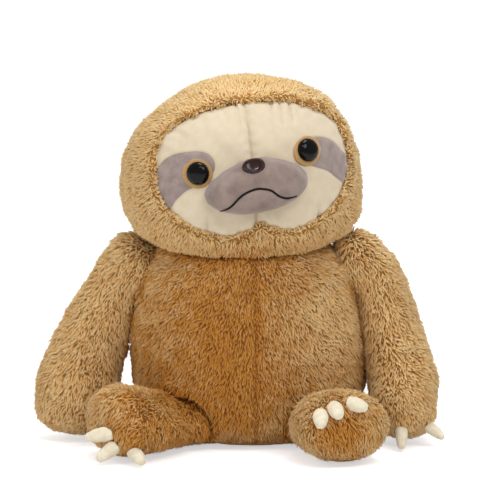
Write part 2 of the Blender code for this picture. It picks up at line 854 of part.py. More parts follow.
def muzzle_dome(inset=0.0):
    """The muzzle's cushion, moved inward by the inset."""
    depth = MUZZLE_ROOT + MUZZLE_RISE
    sizes = (MUZZLE_WIDTH, MUZZLE_HEIGHT, depth, MUZZLE_DROP, inset)
    return dome_mesh(MUZZLE_SHARES, *sizes, muzzle_frame(), MUZZLE_FULLNESS_SHARE, MUZZLE_STEPS)


def build_head(pieces):
    """The head's cover, stuffing, face and everything sewn or fixed to the face."""
    form = head_form()
    cover = hollow("head_cover", form, "fur", BODY_SIDES, LINING_SIDES, FUR_THICKNESS)
    cut(cover, neck_seat(), neck_hole(), face_prism())
    stuffing_mesh = form.mesh(LINING_SIDES, RINGS_PER_ROW, FUR_THICKNESS + GAP)
    stuffing = new_object("head_stuffing", stuffing_mesh, "stuffing")
    cut(stuffing, neck_seat())
    skin = surface_of(form.mesh(BODY_SIDES, RINGS_PER_ROW, FACE_RECESS))
    pieces["head_cover"] = cover
    pieces["head_stuffing"] = stuffing
    depth = FUR_THICKNESS - FACE_RECESS + WASHER_DROP
    muzzle_cutters = []
    for side in ("right", "left"):
        panel = face_layer(form, f"face_{side}", "cream")
        trim(panel, face_prism(GAP), half_space(side, GAP))
        cut(panel, patch_prism(side))
        patch = face_layer(form, f"{side}_eye_patch", "mauve")
        trim(patch, face_prism(GAP), patch_prism(side, GAP))
        place = face_frame(FACE_ROLL)
        eye_frame = seat_on(skin, place, EYE_SHIFT + arm_side(side) * EYE_SPREAD / 2, EYE_RISE)
        cut(patch, placed(lathe(shank_hole(), LATHE_SIDES), eye_frame))
        cut(panel, placed(lathe(shank_hole(), LATHE_SIDES), eye_frame))
        cut(stuffing, placed(lathe(washer_pocket(depth, WASHER_DIAMETER), LATHE_SIDES), eye_frame))
        eye = new_object(f"{side}_eye", placed(lathe(eye_profile(), LATHE_SIDES), eye_frame), "black")
        ring_shape = ring_profile(
            SHANK_DIAMETER / 2 + GAP, EYE_RING_DIAMETER / 2, -FACE_RECESS, EYE_RING_THICKNESS
        )
        ring = new_object(f"{side}_eye_ring", placed(lathe(ring_shape, LATHE_SIDES), eye_frame), "amber")
        cut(ring, form.mesh(BODY_SIDES, RINGS_PER_ROW, FACE_RECESS - GAP))
        pieces[f"face_{side}"] = panel
        pieces[f"{side}_eye_patch"] = patch
        pieces[f"{side}_eye"] = eye
        pieces[f"{side}_eye_ring"] = ring
        washer = f"{side}_eye_washer"
        pieces[washer] = build_washer(washer, eye_frame, depth, WASHER_DIAMETER)
        bottom = -FACE_RECESS - OVERRUN
        clearance = disc_profile(EYE_RING_DIAMETER / 2 + GAP, bottom, EYE_RING_THICKNESS + GAP)
        muzzle_cutters.append(placed(lathe(clearance, LATHE_SIDES), eye_frame))
    build_muzzle(pieces, form, muzzle_cutters)


def build_muzzle(pieces, form, cutters):
    """The muzzle's cover and stuffing, the mouth's thread and the nose with its washer."""
    cover = new_object("muzzle_cover", muzzle_dome(), "mauve")
    surface = surface_of(muzzle_dome())
    cut(cover, muzzle_dome(SHORT_PILE_THICKNESS), *cutters)
    stuffing = new_object("muzzle_stuffing", muzzle_dome(SHORT_PILE_THICKNESS + GAP), "stuffing")
    for piece in (cover, stuffing):
        cut(piece, form.mesh(BODY_SIDES, RINGS_PER_ROW, FACE_RECESS - GAP))
    place = face_frame(FACE_ROLL) @ Matrix.Translation((MUZZLE_SHIFT, 0.0, 0.0))
    nose_frame = tipped(seat_on(surface, place, NOSE_SHIFT, NOSE_LEVEL), place)
    depth = SHORT_PILE_THICKNESS + NOSE_WASHER_DROP
    cut(cover, placed(lathe(shank_hole(), LATHE_SIDES), nose_frame))
    cut(stuffing, placed(lathe(washer_pocket(depth, NOSE_WASHER_DIAMETER), LATHE_SIDES), nose_frame))
    nose = cut(build_nose(nose_frame), muzzle_dome(-GAP))
    shank = lathe(disc_profile(SHANK_DIAMETER / 2, -SHANK_LENGTH, NOSE_DEPTH / 2), LATHE_SIDES)
    pieces["nose"] = combine(nose, placed(shank, nose_frame), "UNION")
    pieces["nose_washer"] = build_washer("nose_washer", nose_frame, depth, NOSE_WASHER_DIAMETER)
    pieces["mouth_thread"] = build_mouth(surface, place)
    pieces["muzzle_cover"] = cover
    pieces["muzzle_stuffing"] = stuffing


def tipped(seat, place):
    """The seat turned to face more to the front, with its X level across the face."""
    front = place.to_3x3() @ Vector((0.0, -1.0, 0.0))
    across = place.to_3x3() @ Vector((1.0, 0.0, 0.0))
    outward = (seat.to_3x3() @ Vector((0.0, 0.0, 1.0)) + NOSE_TIP_SHARE * front).normalized()
    across = (across - outward * across.dot(outward)).normalized()
    turn = Matrix((across, outward.cross(across), outward)).transposed().to_4x4()
    return Matrix.Translation(seat.translation) @ turn


def build_nose(frame):
    """A glossy rounded triangle that sinks a little into the pile."""
    upright = frame @ Matrix.Rotation(math.pi / 2, 4, "X")
    root = upright @ Matrix.Translation((0.0, NOSE_ROOT, 0.0))
    depth = NOSE_DEPTH + NOSE_ROOT
    sizes = (NOSE_WIDTH, NOSE_HEIGHT, depth, 0.0, 0.0)
    dome = dome_mesh(NOSE_SHARES, *sizes, root, NOSE_FULLNESS_SHARE, NOSE_STEPS)
    return new_object("nose", dome, "nose")


def build_mouth(surface, place):
    """The mouth: one thread laid on the muzzle from corner to corner."""
    right_half = scaled(MOUTH_SHARES, MOUTH_WIDTH / 2, -MOUTH_DROP, 0.0, -MOUTH_LEVEL)
    route = [(-x, y) for x, y in right_half[:0:-1]] + right_half
    rows = []
    radius = THREAD_DIAMETER / 2
    for step in range(THREAD_STEPS * (len(route) - 1) + 1):
        across, up = smooth_rows(route, step / THREAD_STEPS)
        lift = seat_on(surface, place, across, up) @ Vector((0.0, 0.0, radius + THREAD_LIFT))
        rows.append((*lift, radius, radius))
    thread = Form(rows, (0.0, 1.0, 0.0)).mesh(THREAD_SIDES, RINGS_PER_ROW)
    return new_object("mouth_thread", thread, "thread")


def claw_form(root, heading, length, diameter):
    """A soft blunt claw that starts inside the limb and curls down a little."""
    side = heading.cross(Vector((0.0, 0.0, 1.0))).normalized()
    down = side.cross(heading)
    start = root - heading * (CLAW_ROOT_SHARE * length)
    whole = length * (1 + CLAW_ROOT_SHARE)
    rows = []
    for along, thick in CLAW_SHARES:
        curl = down * (-CLAW_CURL_SHARE * length * along**2)
        centre = start + heading * (along * whole) + curl
        rows.append((*centre, thick * diameter / 2, thick * diameter / 2))
    tip = Vector(rows[-1][:3])
    rows += round_end(tip, heading, *rows[-1][3:], CLAW_TIP_SHARE * whole, CAP_STEPS)
    return Form(rows, side)


def direction(azimuth, elevation):
    """A unit direction: azimuth from the front towards the toy's left, elevation above level."""
    turn = math.radians(azimuth)
    rise = math.radians(elevation)
    level = math.cos(rise)
    return Vector((math.sin(turn) * level, -math.cos(turn) * level, math.sin(rise)))


def build_claws(pieces, kind, side, form, middle, heading_turn, places, length, diameter):
    """Three claws round the end of a limb, each cut off by the limb that it is sewn to."""
    surface = surface_of(form.mesh(LIMB_SIDES, RINGS_PER_ROW))
    for label, (out_turn, out_rise, turn, rise) in zip(CLAW_NAMES, places):
        outward = direction(heading_turn + out_turn, out_rise)
        root, _, _, _ = surface.ray_cast(middle, outward)
        claw = claw_form(root, direction(heading_turn + turn, rise), length, diameter)
        name = f"{side}_{kind}_claw_{label}"
        made = new_object(name, claw.mesh(CLAW_SIDES, RINGS_PER_ROW), "claw")
        cut(made, form.mesh(LIMB_SIDES, RINGS_PER_ROW, -GAP))
        pieces[name] = made


def build_arm(pieces, side):
    """An arm's cover, open where it is sewn to the torso, its stuffing and its claws."""
    form = arm_form(side)
    joint = shoulder(side)
    cover = new_object(f"{side}_arm_cover", form.mesh(LIMB_SIDES, RINGS_PER_ROW), "fur")
    clear_of_torso(cover, joint, (0.0,), GAP)
    combine(cover, ball(joint, SHOULDER_RADIUS, BALL_SIDES), "UNION")
    sizes = (form, joint, SHOULDER_RADIUS, (0.0,))
    stuffing = limb_lining(f"{side}_arm_stuffing", *sizes, LIMB_STUFFING_GAP)
    cut(cover, taken(limb_lining("lining", *sizes)))
    inward = Vector((-arm_side(side), 0.0, 0.0))
    cut(cover, sewing_hole(joint, inward, SHOULDER_RADIUS))
    pieces[f"{side}_arm_cover"] = cover
    pieces[f"{side}_arm_stuffing"] = stuffing


def sewing_hole(joint, inward, radius):
    """The round hole through which a limb is sewn to the torso."""
    hole = lathe(disc_profile(radius / 2, 0.0, radius + OVERRUN), LATHE_SIDES)
    turn = inward.to_track_quat("Z", "Y").to_matrix().to_4x4()
    return placed(hole, Matrix.Translation(joint) @ turn)


def limb_lining(name, form, joint, radius, turns, gap=0.0):
    """The inside of a limb's cover, or its stuffing where a gap is given, clear of the torso."""
    mesh = form.mesh(LIMB_LINING_SIDES, RINGS_PER_ROW, FUR_THICKNESS + gap)
    lining = new_object(name, mesh, "stuffing")
    clear_of_torso(lining, joint, turns, CREASE_THICKNESS + gap)
    return combine(lining, ball(joint, radius - CREASE_THICKNESS - gap, LIMB_LINING_SIDES), "UNION")


def clear_of_torso(piece, joint, turns, gap):
    """The piece with the torso taken out of it, at each turn of the limb about its joint."""
    torso = torso_form()
    for turn in turns:
        swung = placed(torso.mesh(BODY_SIDES, RINGS_PER_ROW, -gap), turned_about(joint, turn))
        combine(piece, swung, "DIFFERENCE", "MANIFOLD")


def build_leg(pieces, side):
    """A leg's cover, open where it is sewn to the torso, and its stuffing."""
    form = leg_form(side)
    joint = hip(side)
    swing = arm_side(side) * math.radians(HIP_SWING[side])
    cover = new_object(f"{side}_leg_cover", form.mesh(LIMB_SIDES, RINGS_PER_ROW), "fur")
    clear_of_torso(cover, joint, swing_turns(swing, SWING_STEPS), GAP)
    combine(cover, ball(joint, HIP_RADIUS, BALL_SIDES), "UNION")
    sizes = (form, joint, HIP_RADIUS, swing_turns(swing, LINING_SWING_STEPS))
    stuffing = limb_lining(f"{side}_leg_stuffing", *sizes, LIMB_STUFFING_GAP)
    cut(cover, taken(limb_lining("lining", *sizes)))
    cut(cover, sewing_hole(joint, -leg_heading(side), HIP_RADIUS))
    pieces[f"{side}_leg_cover"] = cover
    pieces[f"{side}_leg_stuffing"] = stuffing


def swing_turns(swing, steps):
    """Equal turns from rest to the end of the swing."""
    return [swing * step / steps for step in range(steps + 1)]


def turned_about(joint, angle):
    """The turn about the vertical line through a joint."""
    return Matrix.Translation(joint) @ Matrix.Rotation(angle, 4, "Z") @ Matrix.Translation(-joint)


def limb_end(form):
    """The middle of the last full ring of a limb, from which its claws spread."""
    full = [row for row in form.rows if min(row[3:]) == max(min(other[3:]) for other in form.rows)]
    return Vector(full[-1][:3])


def hang(pieces, name, place, parts):
    """An empty on a joint's axis with the pieces that move about it."""
    axis = bpy.data.objects.new(name, None)
    axis.location = place
    bpy.context.collection.objects.link(axis)
    for part in parts:
        pieces[part].parent = axis
        pieces[part].matrix_parent_inverse = Matrix.Translation(-Vector(place))


def build():
    """Every piece of the toy."""
    for old in list(bpy.data.objects):
        bpy.data.objects.remove(old)
    pieces = {}
    build_torso(pieces)
    torso_names = list(pieces)
    build_head(pieces)
    head_names = [name for name in pieces if name not in torso_names]
    hang(pieces, "neck_axis", head_frame().translation, head_names)
    for side in ("right", "left"):
        sign = arm_side(side)
        before = list(pieces)
        build_arm(pieces, side)
        form = arm_form(side)
        size = (HAND_CLAW_LENGTH, HAND_CLAW_DIAMETER)
        build_claws(pieces, "hand", side, form, limb_end(form), 0.0, HAND_CLAW_TURNS[side], *size)
        added = [name for name in pieces if name not in before]
        hang(pieces, f"{side}_shoulder_axis", shoulder(side), added)
        before = list(pieces)
        build_leg(pieces, side)
        form = leg_form(side)
        size = (FOOT_CLAW_LENGTH, FOOT_CLAW_DIAMETER)
        turn = sign * LEG_TURN[side]
        build_claws(pieces, "foot", side, form, limb_end(form), turn, FOOT_CLAW_TURNS[side], *size)
        added = [name for name in pieces if name not in before]
        hang(pieces, f"{side}_hip_axis", hip(side), added)


build()
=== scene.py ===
"""A seated plush sloth, finished for a studio picture.

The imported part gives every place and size. Each furry body gets a skin grown from its own cover and a
pile of combed tufts. The face is a sewn velour panel, and the muzzle, eyes, nose, mouth and claws are
finished pieces that sit where the part has them.
"""

import logging
import math
from dataclasses import dataclass, field
from enum import Enum
from functools import partial

import bmesh
import bpy
import numpy as np
from bpy.types import Material, Mesh, Node, NodeOutputs, NodeSocket, NodeTree, Object
from mathutils import Matrix, Vector
from mathutils.bvhtree import BVHTree


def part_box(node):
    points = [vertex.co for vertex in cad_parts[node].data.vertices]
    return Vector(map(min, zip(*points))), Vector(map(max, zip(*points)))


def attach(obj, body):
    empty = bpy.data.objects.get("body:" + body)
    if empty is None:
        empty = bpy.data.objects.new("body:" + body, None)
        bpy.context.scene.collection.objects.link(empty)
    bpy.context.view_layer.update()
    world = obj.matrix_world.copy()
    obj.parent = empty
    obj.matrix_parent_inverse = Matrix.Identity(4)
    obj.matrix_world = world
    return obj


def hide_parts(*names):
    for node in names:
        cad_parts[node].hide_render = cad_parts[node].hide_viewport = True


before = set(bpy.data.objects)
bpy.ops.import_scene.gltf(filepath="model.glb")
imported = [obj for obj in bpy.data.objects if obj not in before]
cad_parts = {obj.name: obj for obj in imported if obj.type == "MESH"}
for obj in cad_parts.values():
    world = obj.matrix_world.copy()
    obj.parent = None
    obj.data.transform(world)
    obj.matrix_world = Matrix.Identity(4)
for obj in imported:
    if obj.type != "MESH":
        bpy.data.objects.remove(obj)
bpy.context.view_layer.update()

LOG = logging.getLogger("sloth")
MM = 0.001
SIDES = {"right": -1.0, "left": 1.0}
FACE_NODES = ("face_left", "face_right", "left_eye_patch", "right_eye_patch")
LIMB_COVERS = tuple(f"{side}_{limb}_cover" for side in SIDES for limb in ("arm", "leg"))
COVERS = ("head_cover", "torso_cover", *LIMB_COVERS)
Pairs = tuple[tuple[float, float], ...]
Place = tuple[float, float, float]


# Colours and nodes


def linear(code: str) -> tuple[float, ...]:
    """Turns an sRGB hex colour into linear light, with a full alpha."""
    parts = [int(code[start : start + 2], 16) / 255 for start in (1, 3, 5)]
    return (*(p / 12.92 if p <= 0.04045 else ((p + 0.055) / 1.055) ** 2.4 for p in parts), 1.0)


def feed(tree: NodeTree, node: Node, inputs: dict) -> None:
    """Sets or links a node's inputs.

    Args:
        tree: the node tree.
        node: the node.
        inputs: socket name or number to a value, to another node's output socket, or to a node, for
            its first output.
    """
    for key, value in inputs.items():
        source = value.outputs[0] if isinstance(value, Node) else value
        if isinstance(source, NodeSocket):
            tree.links.new(source, node.inputs[key])
        else:
            node.inputs[key].default_value = source


def add_node(tree: NodeTree, kind: str, inputs: dict | None = None, **settings: object) -> Node:
    """Adds a node with its settings, and feeds its inputs.

    Args:
        tree: the node tree.
        kind: the node's type name.
        inputs: what feed takes.
        **settings: properties of the node.

    Returns:
        The node.
    """
    node = tree.nodes.new(kind)
    for name, value in settings.items():
        setattr(node, name, value)
    feed(tree, node, inputs or {})
    return node


def blank_material(name: str) -> tuple[Material, NodeTree, Node]:
    """Makes a material.

    Args:
        name: its name.

    Returns:
        The material, its tree and its Principled shader.
    """
    material = bpy.data.materials.new(name)
    material.use_nodes = True
    return material, material.node_tree, material.node_tree.nodes["Principled BSDF"]


def node_group(name: str, wanted: dict[str, str], made: str) -> tuple[NodeTree, NodeOutputs]:
    """Starts a Geometry Nodes group.

    Args:
        name: the group's name.
        wanted: the names and the kinds of its inputs.
        made: the name of its output.

    Returns:
        The group, and the sockets of what it is given.
    """
    tree = bpy.data.node_groups.new(name, "GeometryNodeTree")
    for title, kind in wanted.items():
        tree.interface.new_socket(name=title, in_out="INPUT", socket_type=f"NodeSocket{kind}")
    tree.interface.new_socket(name=made, in_out="OUTPUT", socket_type="NodeSocketGeometry")
    return tree, add_node(tree, "NodeGroupInput").outputs


def grow(thing: Object, tree: NodeTree, inputs: dict[str, object]) -> None:
    """Puts a node group on an object.

    Args:
        thing: the object.
        tree: the group.
        inputs: the group's inputs by name.
    """
    modifier = thing.modifiers.new(tree.name, "NODES")
    modifier.node_group = tree
    for item in tree.interface.items_tree:
        if item.in_out == "INPUT" and item.name in inputs:
            modifier[item.identifier] = inputs[item.name]


# Meshes


def coat(thing: Object, material: Material) -> None:
    """Gives the whole object one material and smooth shading.

    Args:
        thing: the object.
        material: the material.
    """
    thing.data.materials.clear()
    thing.data.materials.append(material)
    thing.data.shade_smooth()


def new_object(name: str, mesh: Mesh, material: Material | None = None) -> Object:
    """Links a smooth-shaded object that shows the mesh.

    Args:
        name: the object's name.
        mesh: its mesh.
        material: its material, if it has one yet.

    Returns:
        The object.
    """
    made = bpy.data.objects.new(name, mesh)
    bpy.context.scene.collection.objects.link(made)
    mesh.shade_smooth()
    if material is not None:
        coat(made, material)
    return made


def evaluated(thing: Object) -> Mesh:
    """Makes a plain mesh of what the object's modifiers give.

    Args:
        thing: the object.

    Returns:
        The mesh.
    """
    bpy.context.view_layer.update()
    view = bpy.context.evaluated_depsgraph_get()
    seen = thing.evaluated_get(view)
    return bpy.data.meshes.new_from_object(seen, preserve_all_data_layers=True, depsgraph=view)


def bake(thing: Object) -> None:
    """Turns the object's modifiers into plain mesh.

    Args:
        thing: the object.
    """
    result = evaluated(thing)
    old = thing.data
    thing.modifiers.clear()
    thing.data = result
    bpy.data.meshes.remove(old)


def mesh_from(name: str, bm: bmesh.types.BMesh) -> Mesh:
    """Turns a bmesh into a mesh, and frees it.

    Args:
        name: the mesh's name.
        bm: the bmesh.

    Returns:
        The mesh.
    """
    mesh = bpy.data.meshes.new(name)
    bm.to_mesh(mesh)
    bm.free()
    return mesh


def grid_mesh(name: str, rings: list[np.ndarray], tube: bool = False) -> Mesh:
    """Joins rings of points into a closed mesh, with a pole where a ring is one point.

    Args:
        name: the mesh's name.
        rings: arrays of points, all of one length apart from poles.
        tube: whether the last ring lies on the first. Otherwise an end ring of several points gets a face.

    Returns:
        The mesh, with its faces pointing out.
    """
    bm = bmesh.new()
    loops = [[bm.verts.new(point) for point in ring] for ring in rings]
    for lower, upper in zip(loops, loops[1:]):
        count = max(len(lower), len(upper))
        for here in range(count):
            beyond = (here + 1) % count
            corners = [lower[here % len(lower)], lower[beyond % len(lower)]]
            corners += [upper[beyond % len(upper)], upper[here % len(upper)]]
            bm.faces.new(list(dict.fromkeys(corners)))
    for loop in (loops[0], loops[-1]):
        if not tube and len(loop) > 1:
            bm.faces.new(loop)
    if tube:
        bmesh.ops.remove_doubles(bm, verts=bm.verts, dist=0.001 * MM)
    bmesh.ops.recalc_face_normals(bm, faces=bm.faces)
    return mesh_from(name, bm)


def positions(mesh: Mesh) -> np.ndarray:
    """Reads where a mesh's vertices are.

    Args:
        mesh: the mesh.

    Returns:
        One row for each vertex.
    """
    places = np.empty(len(mesh.vertices) * 3, np.float32)
    mesh.vertices.foreach_get("co", places)
    return places.reshape(-1, 3)


def vertex_normals(mesh: Mesh) -> np.ndarray:
    """The mesh's vertex normals as rows."""
    return np.array([tuple(item.vector) for item in mesh.vertex_normals])


def move_to(mesh: Mesh, places: np.ndarray) -> None:
    """Moves the mesh's vertices to the rows of places."""
    mesh.vertices.foreach_set("co", places.astype(np.float32).ravel())
    mesh.update()


def store(mesh: Mesh, name: str, values: np.ndarray) -> None:
    """Keeps a named attribute on a mesh.

    Args:
        mesh: the mesh.
        name: the attribute's name.
        values: a number or a vector for each vertex.
    """
    kind, key = ("FLOAT", "value") if values.ndim == 1 else ("FLOAT_VECTOR", "vector")
    attribute = mesh.attributes.new(name, kind, "POINT")
    attribute.data.foreach_set(key, values.astype(np.float32).ravel())


def search_tree(meshes: list[Mesh]) -> BVHTree:
    """Makes a tree that finds the nearest point of several meshes, or where a ray meets them.

    Args:
        meshes: the meshes.

    Returns:
        The tree.
    """
    points: list[Vector] = []
    faces: list[list[int]] = []
    for mesh in meshes:
        start = len(points)
        points += [vertex.co.copy() for vertex in mesh.vertices]
        faces += [[start + index for index in polygon.vertices] for polygon in mesh.polygons]
    return BVHTree.FromPolygons(points, faces)


def cad_mesh(node: str) -> Mesh:
    """The mesh of a node of the part."""
    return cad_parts[node].data


# Curves, distances and frames


def smooth_rows(rows: np.ndarray, steps: int, closed: bool) -> np.ndarray:
    """Runs a Catmull-Rom curve through the rows.

    Args:
        rows: the points.
        steps: the number of points for each row.
        closed: whether the last row joins the first.

    Returns:
        The points of the curve.
    """
    count = len(rows)
    if closed:
        padded = np.vstack([rows[-1:], rows, rows[:2]])
        spans = count
    else:
        padded = np.vstack([2 * rows[0] - rows[1], rows, 2 * rows[-1] - rows[-2]])
        spans = count - 1
    share = np.linspace(0, 1, steps, endpoint=False)[:, None]
    curve = []
    for index in range(spans):
        p, q, r, s = padded[index : index + 4]
        bend = 2 * p - 5 * q + 4 * r - s
        twist = 3 * q - p - 3 * r + s
        curve.append(q + 0.5 * share * ((r - p) + share * (bend + share * twist)))
    if not closed:
        curve.append(rows[-1:])
    return np.vstack(curve)


def line_distance(points: np.ndarray, line: np.ndarray, closed: bool) -> np.ndarray:
    """Measures how far points lie from a line, in the plane or in space.

    Args:
        points: the points.
        line: the line's own points.
        closed: whether its last point joins its first.

    Returns:
        The distance of each point.
    """
    ends = np.roll(line, -1, axis=0) if closed else line[1:]
    starts = line if closed else line[:-1]
    best = np.full(len(points), np.inf)
    for start, end in zip(starts, ends):
        run = end - start
        share = np.clip((points - start) @ run / max(run @ run, 1e-18), 0, 1)[:, None]
        best = np.minimum(best, np.linalg.norm(points - start - share * run, axis=1))
    return best


def inside_distance(points: np.ndarray, loop: np.ndarray) -> np.ndarray:
    """Measures how far points lie inside a closed outline.

    Args:
        points: places in the plane.
        loop: the outline's points.

    Returns:
        The distance of each point, negative outside the outline.
    """
    x, y = points[:, 0], points[:, 1]
    inside = np.zeros(len(points), bool)
    for (x0, y0), (x1, y1) in zip(loop, np.roll(loop, -1, axis=0)):
        crosses = (y0 > y) != (y1 > y)
        if y0 != y1:
            inside ^= crosses & (x < (x1 - x0) * (y - y0) / (y1 - y0) + x0)
    return np.where(inside, 1.0, -1.0) * line_distance(points, loop, True)


def bell(distance: np.ndarray, width: float) -> np.ndarray:
    """1 at no distance, falling softly to 0 past the width."""
    return np.exp(-((distance / width) ** 2))


@dataclass(frozen=True)
class Ridge:
    """A soft ridge along a line, or a groove if its height is negative. Its place and width are in mm."""

    height: float
    place: float
    width: float

    def at(self, distance: np.ndarray) -> np.ndarray:
        """The ridge's height at each distance from the line, in mm."""
        return self.height * bell(distance - self.place, self.width)


def ridges(distance: np.ndarray, rows: tuple[Ridge, ...]) -> np.ndarray:
    """The height of several ridges together, at each distance from their line."""
    return sum(row.at(distance) for row in rows)


def circle(count: int) -> np.ndarray:
    """The angles of points spread evenly round a circle."""
    return np.linspace(0, 2 * math.pi, count, endpoint=False)


def level_ring(x: np.ndarray, y: np.ndarray, height: float) -> np.ndarray:
    """A ring of points that all lie at one height."""
    return np.stack([x, y, np.full_like(x, height)], axis=1)


def placed(points: np.ndarray, place: np.ndarray) -> np.ndarray:
    """The points, moved from their own frame to where a 4 by 4 frame has them."""
    return points @ place[:3, :3].T + place[:3, 3]


def disc_axis(node: str) -> tuple[np.ndarray, np.ndarray]:
    """Finds how a flat round node lies.

    Args:
        node: the node's name.

    Returns:
        Its middle, and its axis towards the front.
    """
    places = np.unique(np.round(positions(cad_mesh(node)).astype(float), 6), axis=0)
    middle = places.mean(axis=0)
    _, axes = np.linalg.eigh(np.cov((places - middle).T))
    axis = axes[:, 0]
    return middle, axis if axis[1] < 0 else -axis


def cap_frame(node: str, height: float, up: Vector) -> np.ndarray:
    """Finds the frame of a cap whose shank a washer holds.

    Args:
        node: the cap's node, whose washer has its name too.
        height: how far the cap stands up in its frame, in metres.
        up: the direction that Y comes near.

    Returns:
        A 4 by 4 frame with Z along the shank, out to the front.
    """
    middle, axis = disc_axis(f"{node}_washer")
    reach = ((positions(cad_mesh(node)) - middle) @ axis).max()
    z = axis / np.linalg.norm(axis)
    y = np.array(up) - z * (np.array(up) @ z)
    y /= np.linalg.norm(y)
    made = np.eye(4)
    made[:3] = np.stack([np.cross(y, z), y, z, middle + axis * (reach - height)], axis=1)
    return made


# Finishes


@dataclass(frozen=True)
class FurFinish:
    """Brushed fur, coloured from root to tip, with painted shade deeper towards the root, and from tuft to
    tuft.
    """

    name: str
    pale: tuple[str, str, str]
    deep: tuple[str, str, str]
    sheen: str
    stops: tuple[float, float, float] = (0.0, 0.3, 0.8)

    def material(self) -> Material:
        """Makes the material.

        Returns:
            The material, which reads the attributes of the tufts.
        """
        material, tree, shader = blank_material(self.name)
        add = partial(add_node, tree)
        along, tone = [
            add("ShaderNodeAttribute", attribute_name=name).outputs["Fac"] for name in ("along", "tone")
        ]
        ramps = []
        # Each ramp runs from a root darkened by painted shade to a pale tip
        for colours in (self.deep, self.pale):
            ramp = add("ShaderNodeValToRGB", {"Fac": along})
            elements = ramp.color_ramp.elements
            elements.new(0.5)
            for element, stop, code in zip(elements, self.stops, colours):
                element.position = stop
                element.color = linear(code)
            ramps.append(ramp)
        colour = add("ShaderNodeMix", {0: tone, 6: ramps[0], 7: ramps[1]}, data_type="RGBA")
        looks = {
            "Base Color": colour.outputs[2],
            "Subsurface Weight": 0.3,
            "Subsurface Radius": (1.0, 0.8, 0.6),
            "Subsurface Scale": 4 * MM,
            "Roughness": 0.72,
            "Specular IOR Level": 0.18,
            "Sheen Weight": 0.13,
            "Sheen Roughness": 0.45,
            "Sheen Tint": linear(self.sheen),
        }
        feed(tree, shader, looks)
        return material


@dataclass(frozen=True)
class VelourFinish:
    """Short-pile knitted velour, with clouds where its nap was stroked and grains where it parts."""

    name: str
    colour: str
    shade: str
    other_colour: str = ""
    other_shade: str = ""
    # The colour of the painted shade in the seams and pleats, if the velour has one
    painted_crease_shade: str = ""
    cloud_size: float = 9 * MM
    # The pile's fibres are finer than a pixel, so their grain is drawn at 0.8 mm, the finest that shows
    pile_size: float = 0.8 * MM

    def nap(self, tree: NodeTree, place: NodeSocket, colour: str, shade: str) -> NodeSocket:
        """Adds one colour of the velour.

        Args:
            tree: the material's tree.
            place: the socket of the place on the piece.
            colour: the colour of pile that stands up.
            shade: the colour of pile that is stroked flat.

        Returns:
            The socket of the colour with its clouds, its painted shade in creases and its grain.
        """
        add = partial(add_node, tree)
        pale, dark = linear(colour), linear(shade)
        cloud = add("ShaderNodeTexNoise", {"Vector": place, "Scale": 1 / self.cloud_size, "Detail": 3.0})
        cloud = add("ShaderNodeMapRange", {"Value": cloud, "From Min": 0.35, "From Max": 0.7})
        layers = [(cloud, dark)]
        # Painted shade: the crease colour darkens the seams and pleats by the share that the mesh holds
        if self.painted_crease_shade:
            sunk = add("ShaderNodeAttribute", attribute_name="painted_crease_shade").outputs["Fac"]
            layers.append((sunk, linear(self.painted_crease_shade)))
        grain = add("ShaderNodeTexNoise", {"Vector": place, "Scale": 1 / self.pile_size, "Detail": 2.0})
        limits = {"From Min": 0.5, "From Max": 0.75, "To Max": 0.5}
        layers.append((add("ShaderNodeMapRange", {"Value": grain, **limits}), dark))
        for share, layer in layers:
            mix = add("ShaderNodeMix", {0: share, 6: pale, 7: layer}, data_type="RGBA")
            pale = mix.outputs[2]
        return pale

    def material(self) -> Material:
        """Makes the material.

        Returns:
            The material, with a second colour inside the sewn patches where it has one.
        """
        material, tree, shader = blank_material(self.name)
        add = partial(add_node, tree)
        place = add("ShaderNodeTexCoord").outputs["Object"]
        colour = self.nap(tree, place, self.colour, self.shade)
        if self.other_colour:
            edge = add("ShaderNodeAttribute", attribute_name="patch").outputs["Fac"]
            inside = add("ShaderNodeMapRange", {"Value": edge, "From Min": -0.3, "From Max": 0.3})
            other = self.nap(tree, place, self.other_colour, self.other_shade)
            colour = add("ShaderNodeMix", {0: inside, 6: colour, 7: other}, data_type="RGBA").outputs[2]
        grain = add("ShaderNodeTexNoise", {"Vector": place, "Scale": 1 / self.pile_size, "Detail": 4.0})
        looks = {
            "Base Color": colour,
            "Normal": add("ShaderNodeBump", {"Strength": 0.35, "Distance": 0.4 * MM, "Height": grain}),
            "Roughness": 0.88,
            "Specular IOR Level": 0.15,
            "Sheen Weight": 0.35,
            "Sheen Roughness": 0.5,
        }
        feed(tree, shader, looks)
        return material


@dataclass(frozen=True)
class FibreFinish:
    """Loose or twisted fibres with gaps between them, which the colour and the bump follow."""

    name: str
    colour: str
    shade: str
    fibre_size: float
    detail: float
    contrast: tuple[float, float]
    strength: float
    depth: float
    roughness: float
    reflection: float
    sheen: float = 0.0

    def material(self) -> Material:
        """Makes the material.

        Returns:
            The material.
        """
        material, tree, shader = blank_material(self.name)
        add = partial(add_node, tree)
        place = add("ShaderNodeTexCoord").outputs["Object"]
        scale = {"Scale": 1 / self.fibre_size, "Detail": self.detail}
        fibres = add("ShaderNodeTexNoise", {"Vector": place, **scale})
        low, high = self.contrast
        gaps = add("ShaderNodeMapRange", {"Value": fibres, "From Min": low, "From Max": high})
        tones = {6: linear(self.colour), 7: linear(self.shade)}
        bump = {"Strength": self.strength, "Distance": self.depth, "Height": fibres}
        looks = {
            "Base Color": add("ShaderNodeMix", {0: gaps, **tones}, data_type="RGBA").outputs[2],
            "Normal": add("ShaderNodeBump", bump),
            "Roughness": self.roughness,
            "Specular IOR Level": self.reflection,
            "Sheen Weight": self.sheen,
        }
        feed(tree, shader, looks)
        return material


